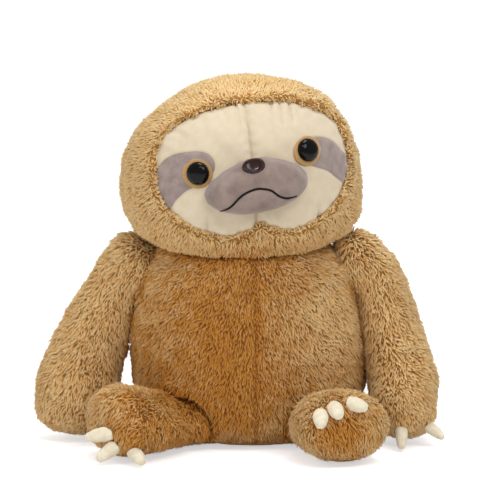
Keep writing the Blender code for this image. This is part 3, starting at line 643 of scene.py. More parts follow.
@dataclass(frozen=True)
class PlasticFinish:
    """Injection-moulded plastic: an even colour, with a skin that handling has left slightly uneven."""

    name: str
    colour: str
    roughness: float
    reflection: float = 0.5
    mark_size: float = 4 * MM

    def material(self) -> Material:
        """Makes the material.

        Returns:
            The material.
        """
        material, tree, shader = blank_material(self.name)
        place = add_node(tree, "ShaderNodeTexCoord").outputs["Object"]
        scale = {"Scale": 1 / self.mark_size, "Detail": 3.0}
        marks = add_node(tree, "ShaderNodeTexNoise", {"Vector": place, **scale})
        limits = {"To Min": self.roughness * 0.7, "To Max": self.roughness * 1.5}
        looks = {
            "Base Color": linear(self.colour),
            "Roughness": add_node(tree, "ShaderNodeMapRange", {"Value": marks, **limits}),
            "IOR": 1.45,
            "Specular IOR Level": self.reflection,
        }
        feed(tree, shader, looks)
        return material


# Polyester fur, sheared and brushed: pale soft tips over deeper roots, whose depth is painted shade down in
# the pile, so each tuft stands out
FUR = FurFinish(
    "brushed_polyester_fur", ("#B2864A", "#EAB26A", "#FBD89E"), ("#834E1C", "#BE721F", "#DB953E"), "#F0CE98"
)
# Knitted velour, brushed and sewn: a matt soft face with cloudy nap marks and painted shade in its seams and
# pleats
FACE_VELOUR = VelourFinish(
    "cream_and_mauve_knitted_velour",
    "#D6C7AD",
    "#D0C0A4",
    other_colour="#9F8F89",
    other_shade="#8A7973",
    painted_crease_shade="#94805F",
)
# The same velour drawn tight over stuffing: broad clouds where the nap turns
MUZZLE_VELOUR = VelourFinish("mauve_knitted_velour", "#95837A", "#7B6A62", cloud_size=16 * MM)
# The same velour on small firm claws: pale, with small clouds and hardly any shine
CLAW_VELOUR = VelourFinish("ivory_knitted_velour", "#E8DFC8", "#D8CCB0", cloud_size=6 * MM)
# Wool felt, pressed and cut: no weave, a fuzzy dull face. Its fibres are too fine to show, so 0.6 mm
RING_FELT = FibreFinish(
    "amber_pressed_felt", "#C29A68", "#A67C4A", 0.6 * MM, 5.0, (0.35, 0.7), 0.6, 0.3 * MM, 0.95, 0.1, 0.4
)
# Twisted embroidery thread: nearly black, with a slight shine. Its fibres are drawn coarse, at 0.3 mm
MOUTH_THREAD = FibreFinish(
    "dark_brown_embroidery_thread", "#1C1010", "#0A0505", 0.3 * MM, 2.0, (0.0, 1.0), 0.5, 0.2 * MM, 0.7, 0.15
)
# Acrylic, moulded and polished: a deep black that mirrors the lamps as small sharp lights
EYE_PLASTIC = PlasticFinish("black_polished_acrylic", "#0A0807", 0.05, 0.20)
# Moulded plastic with a satin skin: a broader, softer light on dark brown
NOSE_PLASTIC = PlasticFinish("dark_brown_moulded_plastic", "#2A1411", 0.12, 0.34)
# Polypropylene as it leaves the mould: milky white and dull
WASHER_PLASTIC = PlasticFinish("white_moulded_polypropylene", "#E4E4DE", 0.4)


# Stuffed skins

PRESSURE = 4.0
PRESSURE_STEPS = 20


def stuffed_skin(name: str, nodes: tuple[str, ...], voxel: float, smoothing: int, swell: float) -> Object:
    """Grows one closed skin over several nodes of the part.

    Args:
        name: the object's name.
        nodes: the nodes that fill the skin.
        voxel: the size of its cells, in metres.
        smoothing: how many times its facets are eased.
        swell: the furthest that the stuffing may push it, in metres; 0 leaves the cloth step out.

    Returns:
        The skin as a plain mesh object.
    """
    bm = bmesh.new()
    for node in nodes:
        bm.from_mesh(cad_mesh(node))
    bmesh.ops.remove_doubles(bm, verts=bm.verts, dist=0.01 * MM)
    skin = new_object(name, mesh_from(name, bm))
    remesh = skin.modifiers.new("remesh", "REMESH")
    remesh.mode = "VOXEL"
    remesh.voxel_size = voxel
    ease = skin.modifiers.new("ease", "SMOOTH")
    ease.factor = 0.5
    ease.iterations = smoothing
    bake(skin)
    keep_outer(skin.data)
    if swell:
        fill_out(skin, swell)
    skin.data.shade_smooth()
    return skin


def keep_outer(mesh: Mesh) -> None:
    """Leaves only the largest island of a mesh.

    Args:
        mesh: the mesh.
    """
    bm = bmesh.new()
    bm.from_mesh(mesh)
    unseen = set(bm.verts)
    islands = []
    while unseen:
        start = unseen.pop()
        island = [start]
        queue = [start]
        while queue:
            for edge in queue.pop().link_edges:
                for vertex in edge.verts:
                    if vertex in unseen:
                        unseen.remove(vertex)
                        island.append(vertex)
                        queue.append(vertex)
        islands.append(island)
    islands.sort(key=len)
    for island in islands[:-1]:
        bmesh.ops.delete(bm, geom=island, context="VERTS")
    bm.to_mesh(mesh)
    bm.free()


def fill_out(skin: Object, swell: float) -> None:
    """Lets stuffing press a skin out as cloth.

    Args:
        skin: the skin.
        swell: the furthest that any point may move, in metres.
    """
    rest = positions(skin.data)
    scene = bpy.context.scene
    cloth = skin.modifiers.new("stuffing", "CLOTH")
    cloth.settings.use_pressure = True
    cloth.settings.uniform_pressure_force = PRESSURE
    cloth.settings.quality = 4
    cloth.settings.effector_weights.gravity = 0.0
    cloth.point_cache.frame_start = 1
    cloth.point_cache.frame_end = PRESSURE_STEPS
    for step in range(1, PRESSURE_STEPS + 1):
        scene.frame_set(step)
    bake(skin)
    scene.frame_set(1)
    shift = positions(skin.data) - rest
    length = np.linalg.norm(shift, axis=1, keepdims=True)
    move_to(skin.data, rest + shift * np.minimum(1.0, swell / np.maximum(length, 1e-9)))


# Fur

SKIN_LIGHT = 1.6


@dataclass(frozen=True)
class Pile:
    """The tufts of the fur. A real fibre is finer than a pixel, so each tuft stands for a lock of them.

    Rings and tip are in millimetres: radius, height and bend, then bend and height.
    """

    rings: tuple[Place, ...] = ((0.85, 0.0, 0.0), (0.74, 3.4, 0.6))
    tip: tuple[float, float] = (2.2, 6.5)
    corners: int = 3
    tone_cloud: float = 16 * MM
    swirl_cloud: float = 13 * MM
    speck_size: float = 3 * MM
    swirl: float = 2.2
    upright: float = 0.75
    combed: float = 0.75
    # The spread of each tuft's own draws, with the number that sets its draw apart from the others
    draws: tuple[tuple[str, float, float, int], ...] = (
        ("tone", -0.3, 0.3, 5),
        ("x", -0.3, 0.3, 1),
        ("y", -0.3, 0.3, 2),
        ("z", -0.3, 0.3, 3),
        ("spin", -1.2, 1.2, 6),
        ("size", 0.7, 1.15, 4),
    )

    def tuft(self) -> Object:
        """Makes one tuft: a closed spike that bends over towards its tip.

        Returns:
            The tuft, with how far along and how far round it each corner lies.
        """
        bm = bmesh.new()
        along = bm.verts.layers.float.new("along")
        side = bm.verts.layers.float.new("side")
        loops = []
        for step, (radius, height, bend) in enumerate(self.rings):
            loop = []
            for corner in range(self.corners):
                turn = 2 * math.pi * corner / self.corners
                x, y = bend + radius * math.cos(turn), radius * math.sin(turn)
                vertex = bm.verts.new((x * MM, y * MM, height * MM))
                vertex[along] = 0.08 + 0.42 * step
                vertex[side] = corner / (self.corners - 1)
                loop.append(vertex)
            loops.append(loop)
        tip = bm.verts.new((self.tip[0] * MM, 0.0, self.tip[1] * MM))
        tip[along] = 1.0
        tip[side] = 0.5
        for corner in range(self.corners):
            beyond = (corner + 1) % self.corners
            bm.faces.new((loops[0][corner], loops[0][beyond], loops[1][beyond], loops[1][corner]))
            bm.faces.new((loops[1][corner], loops[1][beyond], tip))
        bm.faces.new(loops[0][::-1])
        bmesh.ops.recalc_face_normals(bm, faces=bm.faces)
        return new_object("tuft", mesh_from("tuft", bm))

    def tree(self) -> NodeTree:
        """Makes the node group that grows tufts on a skin, brushed along its comb attribute.

        Returns:
            The group.
        """
        wanted = {"Skin": "Geometry", "Tuft": "Object", "Density": "Float", "Length": "Float"}
        wanted |= {"Seed": "Int", "Fur": "Material"}
        tree, given = node_group("fur_pile", wanted, "Fur")
        add = partial(add_node, tree)
        place = add("GeometryNodeInputPosition")
        kept = {}
        for name in ("pile", "deep", "growth", "side", "along", "tone", "comb"):
            kind = "FLOAT_VECTOR" if name == "comb" else "FLOAT"
            read = add("GeometryNodeInputNamedAttribute", {"Name": name}, data_type=kind)
            kept[name] = read.outputs["Attribute"]
        clouds = []
        for size in (self.tone_cloud, self.swirl_cloud, self.speck_size):
            clouds.append(add("ShaderNodeTexNoise", {"Vector": place, "Scale": 1 / size, "Detail": 2.0}))
        drawn = {}
        for name, low, high, number in self.draws:
            seed = add("ShaderNodeMath", {0: given["Seed"], 1: number}, operation="ADD")
            draw = add("FunctionNodeRandomValue", {2: low, 3: high, "Seed": seed}, data_type="FLOAT")
            drawn[name] = draw.outputs[1]

        tone = add("ShaderNodeMath", {0: clouds[0], 1: 1.2, 2: 0.2}, operation="MULTIPLY_ADD")
        tone = add("ShaderNodeMath", {0: tone, 1: drawn["tone"]}, operation="ADD")
        # The deep attribute shifts the tone: the bodies' own deeper patches, with painted shade and painted
        # light marked on the skin
        tone = add("ShaderNodeMath", {0: tone, 1: kept["deep"]}, operation="SUBTRACT")
        tone = add("ShaderNodeClamp", {"Value": tone})
        # The skin under the tufts is half as pale as they are
        shaded = add("ShaderNodeMath", {0: tone, 1: 0.5}, operation="MULTIPLY")
        skin = add(
            "GeometryNodeStoreNamedAttribute",
            {"Geometry": given["Skin"], "Name": "tone", "Value": shaded},
            data_type="FLOAT",
            domain="POINT",
        )

        density = add("ShaderNodeMath", {0: given["Density"], 1: kept["pile"]}, operation="MULTIPLY")
        spread = add(
            "GeometryNodeDistributePointsOnFaces",
            {"Mesh": given["Skin"], "Density": density, "Seed": given["Seed"]},
            distribute_method="RANDOM",
        )
        normal = spread.outputs["Normal"]
        points = spread
        for name, value, kind in (("tone", tone, "FLOAT"), ("skin_normal", normal, "FLOAT_VECTOR")):
            inputs = {"Geometry": points, "Name": name, "Value": value}
            points = add("GeometryNodeStoreNamedAttribute", inputs, data_type=kind, domain="POINT")

        swirl = {0: clouds[1].outputs["Color"], 1: (0.5, 0.5, 0.5)}
        swirl = add("ShaderNodeVectorMath", swirl, operation="SUBTRACT")
        swirl = add("ShaderNodeVectorMath", {0: swirl, "Scale": self.swirl}, operation="SCALE")
        fuzz = add("ShaderNodeCombineXYZ", {0: drawn["x"], 1: drawn["y"], 2: drawn["z"]})
        stray = add("ShaderNodeVectorMath", {0: swirl, 1: fuzz}, operation="ADD")
        raised = add("ShaderNodeVectorMath", {0: normal, "Scale": self.upright}, operation="SCALE")
        laid = add("ShaderNodeVectorMath", {0: kept["comb"], "Scale": self.combed}, operation="SCALE")
        lean = add("ShaderNodeVectorMath", {0: raised, 1: laid}, operation="ADD")
        lean = add("ShaderNodeVectorMath", {0: lean, 1: stray}, operation="ADD")
        lean = add("ShaderNodeVectorMath", {0: lean}, operation="NORMALIZE")
        turned = add("FunctionNodeAlignRotationToVector", {"Vector": lean}, axis="Z")
        bent = {"Rotation": turned, "Vector": kept["comb"]}
        turned = add("FunctionNodeAlignRotationToVector", bent, axis="X", pivot_axis="Z")
        spin = {"Axis": (0.0, 0.0, 1.0), "Angle": drawn["spin"]}
        spin = add("FunctionNodeAxisAngleToRotation", spin)
        turned = add("FunctionNodeRotateRotation", {0: turned, 1: spin}, rotation_space="LOCAL")
        size = add("ShaderNodeMath", {0: given["Length"], 1: kept["growth"]}, operation="MULTIPLY")
        size = add("ShaderNodeMath", {0: size, 1: drawn["size"]}, operation="MULTIPLY")
        tuft = add("GeometryNodeObjectInfo", {"Object": given["Tuft"]}).outputs["Geometry"]
        tufts = {"Points": points, "Instance": tuft, "Rotation": turned, "Scale": size}
        tufts = add("GeometryNodeInstanceOnPoints", tufts)
        tufts = add("GeometryNodeRealizeInstances", {0: tufts})
        join = add("GeometryNodeJoinGeometry")
        for part in (tufts, skin):
            feed(tree, join, {0: part})

        # The map holds tone across and the way from root to tip up it, so its colours can be kept exactly
        kept["speck"] = clouds[2].outputs["Fac"]
        chart = []
        for wide, most, narrow, rest in (("tone", 0.97, "side", 0.01), ("speck", 0.02, "along", 0.96)):
            inner = {0: kept[wide], 1: most, 2: 0.01}
            inner = add("ShaderNodeMath", inner, operation="MULTIPLY_ADD")
            outer = {0: kept[narrow], 1: rest, 2: inner}
            chart.append(add("ShaderNodeMath", outer, operation="MULTIPLY_ADD"))
        chart = add("ShaderNodeCombineXYZ", {0: chart[0], 1: chart[1]})
        inputs = {"Geometry": join, "Name": "OFBake", "Value": chart}
        dressed = add("GeometryNodeStoreNamedAttribute", inputs, data_type="FLOAT2", domain="CORNER")
        dressed = add("GeometryNodeSetMaterial", {"Geometry": dressed, "Material": given["Fur"]})
        add("NodeGroupOutput", {0: dressed})
        return tree


def soften(mesh: Mesh) -> None:
    """Turns the tufts' normals towards the skin's, as light sees brushed fibres.

    Args:
        mesh: the mesh of a skin with its pile.
    """
    skin = np.empty(len(mesh.vertices) * 3, np.float32)
    mesh.attributes["skin_normal"].data.foreach_get("vector", skin)
    own = np.empty_like(skin)
    mesh.vertex_normals.foreach_get("vector", own)
    turned = skin.reshape(-1, 3) * SKIN_LIGHT + own.reshape(-1, 3)
    turned /= np.linalg.norm(turned, axis=1, keepdims=True)
    mesh.normals_split_custom_set_from_vertices(turned.tolist())


class Nap(Enum):
    """The way that a body's pile is brushed."""

    FALL = "down and away from the middle line"
    HOOD = "back from the face and down"
    SLEEVE = "along one way"
    SHIN = "towards the sole and down"


@dataclass(frozen=True)
class Spot:
    """A soft-edged ball of space in which something about the fur changes by an amount."""

    x: float
    y: float
    z: float
    reach: float
    amount: float

    def at(self, places: np.ndarray) -> np.ndarray:
        """The amount at each place."""
        away = np.linalg.norm(places - np.array((self.x, self.y, self.z)), axis=1)
        return self.amount * bell(away, self.reach)


@dataclass
class FurBody:
    """A body covered in fur: its skin, and the tufts that stand on it.

    Its balls of space make the pile deeper in colour, longer, or drawn in by metres. Lengths are in metres.
    """

    body: str
    nap: Nap
    seed: int
    centre: Place = (0.0, 0.0, 0.0)
    forward: Place = (0.0, -1.0, 0.0)
    voxel: float = 0.004
    smoothing: int = 5
    swell: float = 0.002
    fill: float = 0.8
    density: float = 285000.0
    length: float = 0.93
    full_height: float = 0.014
    inset: float = 0.0032
    close_inset: float = 0.0004
    close_reach: float = 0.012
    painted_contact_shade: float = 0.7
    bare: float = 0.0008
    hidden_gap: float = 0.004
    hidden_turn: float = 0.2
    floor_gap: float = 0.004
    rim: tuple[str, ...] = ()
    rim_reach: float = 0.011
    depth: float = 0.0
    deep: tuple[Spot, ...] = ()
    long: tuple[Spot, ...] = ()
    pinch: tuple[Spot, ...] = ()
    parting: tuple[float, ...] = ()
    parting_width: float = 0.0022
    parting_change: float = 0.35
    claws: tuple[str, ...] = ()
    claw_reach: float = 0.010
    claw_swell: float = -0.003

    @property
    def nodes(self) -> tuple[str, str]:
        """The nodes that the skin replaces, its cover first."""
        return (f"{self.body}_cover", f"{self.body}_stuffing")

    @property
    def neighbours(self) -> tuple[str, ...]:
        """Every cover but the body's own."""
        return tuple(name for name in COVERS if name not in self.nodes)

    def pull(self, point: Vector, normal: Vector) -> Vector:
        """Finds the direction that the pile is brushed.

        Args:
            point: a place on the skin.
            normal: the way out of the skin there.

        Returns:
            The direction along the skin.
        """
        away = point - Vector(self.centre)
        if self.nap is Nap.HOOD:
            wanted = Vector((away.x, 0.0, away.z)).normalized() * 0.55 + Vector((0.0, 0.8, -0.8))
        elif self.nap is Nap.SLEEVE:
            wanted = Vector(self.forward)
        elif self.nap is Nap.SHIN:
            wanted = Vector(self.forward) * 0.6 + Vector((0.0, 0.0, -0.7)) + away.normalized() * 0.5
        else:
            wanted = Vector((away.x * 9.0, away.y * 4.0, -1.0))
        flat = wanted - normal * wanted.dot(normal)
        return flat.normalized() if flat.length > 1e-3 else Vector((1.0, 0.0, 0.0))

    def mark(self, skin: Object) -> np.ndarray:
        """Keeps on each vertex where the pile grows, how it is brushed, its length and its depth of colour,
        with painted shade close to other bodies and painted light at the face's edge.

        Args:
            skin: the body's skin, still at its full size.

        Returns:
            How far each vertex is to be drawn in under the pile, in metres.
        """
        own = search_tree([cad_mesh(self.nodes[0])])
        others = search_tree([cad_mesh(name) for name in self.neighbours])
        near = search_tree([cad_mesh(name) for name in (*self.neighbours, *self.rim)])
        rim = search_tree([cad_mesh(name) for name in self.rim])
        places = positions(skin.data)
        pile = np.ones(len(places))
        comb = np.zeros((len(places), 3))
        inset = np.zeros(len(places))
        depth = np.full(len(places), self.depth)
        for index, (place, normal) in enumerate(zip(places, vertex_normals(skin.data))):
            point, out = Vector(place), Vector(normal)
            closeness = max(0.0, 1 - near.find_nearest(point)[3] / self.close_reach)
            inset[index] = self.inset + (self.close_inset - self.inset) * closeness
            # Painted shade: the pile is deeper in colour where it lies close to another body or the face
            depth[index] += self.painted_contact_shade * closeness**2
            brushed = self.pull(point, out)
            if self.rim:
                edge, _, _, gap = rim.find_nearest(point)
                roll = max(0.0, 1 - gap / self.rim_reach)
                brushed = brushed.lerp((edge - point).normalized(), roll)
                # Painted light: the pile is drawn paler where it rolls over the face's edge
                depth[index] -= roll
            comb[index] = brushed
            top, facing, _, distance = own.find_nearest(point)
            hidden = distance > self.hidden_gap or facing.dot(out) < self.hidden_turn
            pressed = others.find_nearest(top, self.bare)[0] is not None
            if hidden or pressed or (place[2] < self.floor_gap and out.z < -0.5):
                pile[index] = 0.0
        growth = np.clip(places[:, 2] / self.full_height, 0.5, 1.0)
        for values, spots in ((depth, self.deep), (growth, self.long), (inset, self.pinch)):
            for spot in spots:
                values += spot.at(places)
        for across in self.parting:
            line = bell(places[:, 0] - across, self.parting_width) * (places[:, 1] < 0)
            depth += self.parting_change * line
            growth -= self.parting_change * line
        for name, values in (("pile", pile), ("comb", comb), ("deep", depth), ("growth", growth)):
            store(skin.data, name, values)
        for claw in self.claws:
            tips = positions(cad_mesh(claw))
            order = np.argsort(np.linalg.norm(tips - places.mean(axis=0), axis=1))
            root = tips[order[: len(order) // 3]].mean(axis=0)
            inset += Spot(*root, self.claw_reach, self.claw_swell).at(places)
        return inset

    def build(self, tree: NodeTree, tuft: Object, material: Material) -> Object:
        """Makes the skin and its pile, and hands them to the body.

        Args:
            tree: the node group that grows the pile.
            tuft: one tuft.
            material: the fur.

        Returns:
            The finished piece.
        """
        skin = stuffed_skin(f"{self.body}_fur", self.nodes, self.voxel, self.smoothing, self.swell)
        inset = self.mark(skin)
        move_to(skin.data, positions(skin.data) - vertex_normals(skin.data) * inset[:, None])
        sizes = {"Density": self.density, "Length": self.length, "Seed": self.seed}
        grow(skin, tree, {"Tuft": tuft, "Fur": material, **sizes})
        bake(skin)
        places = positions(skin.data)
        places[:, 2] = np.maximum(places[:, 2], 0.3 * MM)
        move_to(skin.data, places)
        skin.data.shade_smooth()
        soften(skin.data)
        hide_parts(*self.nodes)
        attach(skin, self.body)
        return skin


# Head


@dataclass(frozen=True)
class HeadShape:
    """The head's smooth front, as rings up its height, and the planes of its face.

    Each ring is a share of the height, the width and the depth.
    """

    base: Place = (-0.010, -0.006, 0.197)
    yaw: float = 8.0
    height: float = 0.180
    width: float = 0.250
    depth: float = 0.196
    level: float = 0.094
    recess: float = 0.003
    hood_roll: float = -4.0
    face_roll: float = -10.0
    shares: tuple[Place, ...] = (
        (0.000, 0.00, 0.00), (0.006, 0.50, 0.64), (0.035, 0.71, 0.82), (0.105, 0.865, 0.92),
        (0.215, 0.96, 0.975), (0.375, 1.00, 1.00), (0.540, 0.98, 0.99), (0.705, 0.88, 0.92),
        (0.840, 0.71, 0.76), (0.938, 0.48, 0.52), (0.988, 0.22, 0.24), (1.000, 0.00, 0.00),
    )

    def plane(self, roll: float) -> Matrix:
        """Finds the face plane in the middle of the head: X across, Z up, -Y to the front.

        Args:
            roll: how far the plane is rolled, in degrees.

        Returns:
            The plane's 4 by 4 frame.
        """
        turn = Matrix.Rotation(math.radians(self.yaw), 4, "Z")
        middle = Matrix.Translation((0.0, 0.0, self.level))
        return Matrix.Translation(self.base) @ turn @ middle @ Matrix.Rotation(math.radians(roll), 4, "Y")

    def up(self) -> Vector:
        """The way up the face."""
        return self.plane(self.face_roll).to_3x3() @ Vector((0, 0, 1))

    def back_depth(self, x: np.ndarray, z: np.ndarray) -> np.ndarray:
        """Finds how far the surface lies to the front, in the head's own frame.

        Args:
            x: places across the head.
            z: places up the head.

        Returns:
            The surface's Y, which is negative.
        """
        rows = smooth_rows(np.array(self.shares), 40, False)
        half_width = np.interp(z / self.height, rows[:, 0], rows[:, 1]) * self.width / 2
        half_depth = np.interp(z / self.height, rows[:, 0], rows[:, 2]) * self.depth / 2
        share = np.clip(x / np.maximum(half_width, 1e-6), -0.995, 0.995)
        return -half_depth * np.sqrt(1 - share**2)

    def front(self, across: np.ndarray, up: np.ndarray, roll: float, lift: np.ndarray | float) -> np.ndarray:
        """Finds places on the face.

        Args:
            across: places across the face plane, in metres.
            up: places up the face plane, in metres.
            roll: the plane's roll, in degrees.
            lift: how far each point stands off the face fabric, in metres.

        Returns:
            The points where the part has the head.
        """
        turn = math.radians(roll)
        x = across * math.cos(turn) + up * math.sin(turn)
        z = -across * math.sin(turn) + up * math.cos(turn) + self.level
        step = 0.5 * MM
        y = self.back_depth(x, z)
        slope_x = (self.back_depth(x + step, z) - self.back_depth(x - step, z)) / (2 * step)
        slope_z = (self.back_depth(x, z + step) - self.back_depth(x, z - step)) / (2 * step)
        normal = np.stack([slope_x, -np.ones_like(x), slope_z], axis=1)
        normal /= np.linalg.norm(normal, axis=1, keepdims=True)
        points = np.stack([x, y, z], axis=1) + normal * (np.asarray(lift) - self.recess).reshape(-1, 1)
        turned = Matrix.Rotation(math.radians(self.yaw), 4, "Z")
        return placed(points, np.array(Matrix.Translation(self.base) @ turned))


@dataclass(frozen=True)
class EyePatch:
    """The patch round one eye: how it lies in the panel, and its outline in shares of its size."""

    width: float
    start: float
    rise: float
    droop: float
    ring_drift: float
    shares: Pairs


PATCHES = {
    "right": EyePatch(
        0.038, 0.003, 0.004, -20.0, -0.0024,
        (
            (-0.30, 0.05), (-0.26, 0.60), (-0.10, 0.97), (0.13, 1.16), (0.31, 1.12), (0.49, 0.84),
            (0.75, 0.55), (0.80, -1.70), (0.55, -1.40), (0.44, -1.12), (0.28, -0.86), (0.15, -0.78),
            (-0.05, -0.70), (-0.22, -0.42),
        ),
    ),
    "left": EyePatch(
        0.034, 0.008, 0.002, -34.0, 0.0018,
        (
            (-0.20, 0.05), (-0.16, 0.55), (-0.07, 0.90), (0.08, 1.14), (0.26, 1.16), (0.45, 0.92),
            (0.80, 0.60), (0.90, -1.00), (0.68, -0.78), (0.50, -0.62), (0.35, -0.52), (0.14, -0.64),
            (0.00, -0.68), (-0.14, -0.45),
        ),
    ),
}


@dataclass
class Face:
    """The sewn face: two cream halves, with a patch let in round each eye.

    The last fields are the fabric's relief in millimetres, and its painted shade as a share of the crease
    colour.
    """

    shape: HeadShape
    width: float = 0.204
    height: float = 0.136
    shift: float = 0.005
    middle_rise: float = -0.004
    tuck: float = 0.0015
    mean_radius: float = 0.07
    back: float = 0.0042
    eye_spread: float = 0.112
    eye_rise: float = 0.009
    eye_shift: float = 0.003
    patch_length: float = 0.070
    rings: int = 96
    ring_profile: Pairs = (
        (0.003, -0.4), (0.003, 1.0), (0.008, 1.15), (0.0125, 1.15), (0.0143, 1.0), (0.0150, 0.6),
        (0.0150, -0.2),
    )
    opening_shares: Pairs = (
        (0.00, 1.00), (0.25, 0.985), (0.46, 0.92), (0.71, 0.76), (0.87, 0.59), (0.955, 0.36), (1.00, 0.08),
        (0.985, -0.21), (0.91, -0.47), (0.79, -0.66), (0.615, -0.84), (0.39, -0.95), (0.25, -0.94),
        (0.09, -0.855), (0.00, -0.76),
    )
    pleat_shares: Pairs = (
        (0.24, 0.98), (0.34, 0.96), (0.44, 0.92), (-0.13, 0.99), (-0.55, -0.86), (0.62, -0.84),
    )
    pleat_lean: float = 0.10
    pleat_length: float = 16.0
    pleat_start: float = -4.0
    seam: tuple[Ridge, ...] = (Ridge(-2.0, 0.0, 1.6), Ridge(1.0, -6.0, 5.0), Ridge(0.6, 8.0, 6.0))
    patch_seam: tuple[Ridge, ...] = (Ridge(-0.8, 0.0, 0.9), Ridge(0.2, 3.0, 3.0))
    hood_seam: Ridge = Ridge(-3.2, -1.0, 3.2)
    hood_reach: float = 8.0
    pleat: tuple[Ridge, ...] = (Ridge(-1.8, 0.0, 1.6), Ridge(1.0, 3.4, 2.2))
    pucker: float = 0.3
    gather: float = 0.45
    sway: float = 0.7
    ripple: float = 0.35
    # Painted shade: shares of the crease colour beside the middle seam, on its far side, at the patch seams
    # and in the pleats
    seam_shade: Ridge = Ridge(0.34, 0.3, 0.8)
    side_shade: Ridge = Ridge(0.22, 0.3, 5.0)
    patch_shade: Ridge = Ridge(0.5, 0.0, 0.55)
    pleat_shade: tuple[Ridge, ...] = (Ridge(0.30, 0.0, 0.9), Ridge(0.12, -2.0, 1.8))
    deepest_shade: float = 0.8

    def opening(self) -> np.ndarray:
        """Makes the outline of the face opening.

        Returns:
            A smooth closed line in the hood's plane.
        """
        half = np.array(self.opening_shares) * (self.width / 2, self.height / 2)
        whole = np.vstack([half, (half * (-1, 1))[-2:0:-1]])
        return smooth_rows(whole + (self.shift, 0.0), 12, True)

    def eye_place(self, side: str) -> np.ndarray:
        """Finds an eye's middle.

        Args:
            side: right or left.

        Returns:
            The place in the hood's plane.
        """
        turn = math.radians(self.shape.face_roll - self.shape.hood_roll)
        x, y = self.eye_shift + SIDES[side] * self.eye_spread / 2, self.eye_rise
        return np.array((x * math.cos(turn) + y * math.sin(turn), -x * math.sin(turn) + y * math.cos(turn)))

    def patch(self, side: str) -> np.ndarray:
        """Makes the outline of an eye patch.

        Args:
            side: right or left.

        Returns:
            A smooth closed line in the hood's plane.
        """
        cut = PATCHES[side]
        points = np.array(cut.shares) * (self.patch_length, cut.width / 2) + (cut.start, cut.rise)
        points = smooth_rows(points, 10, True)
        turn = math.radians(cut.droop)
        x = points[:, 0] * math.cos(turn) - points[:, 1] * math.sin(turn)
        y = points[:, 0] * math.sin(turn) + points[:, 1] * math.cos(turn)
        return self.eye_place(side) + np.stack([SIDES[side] * x, y], axis=1)

    def relief(self, points: np.ndarray, edge: np.ndarray, patch: np.ndarray) -> np.ndarray:
        """Finds how far the fabric stands up or is drawn in by its seams.

        Args:
            points: places in the hood's plane, in metres.
            edge: the distance in from the opening's edge, in millimetres.
            patch: the distance in from the patches' seams, in millimetres.

        Returns:
            The lift of each point, in metres.
        """
        x, y = points[:, 0] / MM, points[:, 1] / MM
        turn = np.arctan2(y, x)
        lift = ridges(x, self.seam) + ridges(patch, self.patch_seam)
        lift += self.hood_seam.at(np.minimum(edge, self.hood_reach))
        lift += self.pucker * np.sin(y * 0.6 + np.sin(x * 0.4)) * bell(x, 8.0)
        lift += self.gather * np.sin(turn * 41.0 + 1.5 * np.sin(turn * 7.0)) * bell(edge - 4.0, 7.0)
        lift += self.sway * np.sin(x * 0.09 + 0.8) * np.sin(y * 0.11 + 0.3)
        lift += self.ripple * np.sin(x * 0.21 + y * 0.17)
        for across, strength in self.pleats(points):
            lift += ridges(across, self.pleat) * strength
        return lift * MM

    def painted_shade(self, points: np.ndarray, patch: np.ndarray) -> np.ndarray:
        """Finds how much painted shade each point gets, beside a seam or in a pleat.

        Args:
            points: places in the hood's plane, in metres.
            patch: the distance in from the patches' seams, in millimetres.

        Returns:
            The share of the crease colour, a painted shade, at each point.
        """
        x = points[:, 0] / MM
        shade = self.seam_shade.at(x) + self.side_shade.at(x) * (x > self.side_shade.place)
        shade += self.patch_shade.at(patch)
        for across, strength in self.pleats(points):
            shade += ridges(across, self.pleat_shade) * strength
        return np.clip(shade, 0.0, self.deepest_shade)

    def pleats(self, points: np.ndarray) -> list[tuple[np.ndarray, np.ndarray]]:
        """Finds how points lie to each pleat.

        Args:
            points: places in the hood's plane, in metres.

        Returns:
            For each pleat, the distance across it in millimetres, and how strong it is there.
        """
        half = np.array((self.width / 2, self.height / 2))
        found = []
        for share in self.pleat_shares:
            start = (np.array(share) * half + (self.shift, 0.0)) / MM
            run = np.array((-self.pleat_lean * np.sign(share[0]), -np.sign(share[1])))
            run /= np.linalg.norm(run)
            offset = points / MM - start
            along = offset @ run
            across = offset @ np.array((-run[1], run[0]))
            strength = bell(np.maximum(along, 0.0), self.pleat_length) * (along > self.pleat_start)
            found.append((across, strength))
        return found

    def build(self, material: Material) -> Object:
        """Makes the face as one sewn panel, and hands it to the head.

        Args:
            material: the velour.

        Returns:
            The finished piece.
        """
        opening = self.opening()
        middle = np.array((self.shift, self.middle_rise))
        flat = [middle[None, :]]
        for ring in range(1, self.rings + 1):
            share = ring / self.rings
            tucked = 1 + self.tuck / self.mean_radius * share**6
            flat.append(middle + (opening - middle) * share * tucked)
        points = np.vstack(flat)
        edge = inside_distance(points, opening) / MM
        patch = np.maximum(*(inside_distance(points, self.patch(side)) for side in SIDES)) / MM
        fabric = partial(self.shape.front, points[:, 0], points[:, 1], self.shape.hood_roll)
        front = fabric(self.relief(points, edge, patch))
        back = fabric(-self.back)
        count = len(opening)
        rings = np.split(front, [1 + count * ring for ring in range(self.rings)])
        mesh = grid_mesh("face_velour", [*rings, back[-count:], back[:1]])
        # The crease share stored here is painted shade for the seams and pleats
        for name, values in (("patch", patch), ("painted_crease_shade", self.painted_shade(points, patch))):
            store(mesh, name, np.concatenate([values, values[-count:], values[:1]]))
        made = new_object("face_velour", mesh, material)
        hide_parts("face_left", "face_right", "left_eye_patch", "right_eye_patch")
        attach(made, "head")
        return made

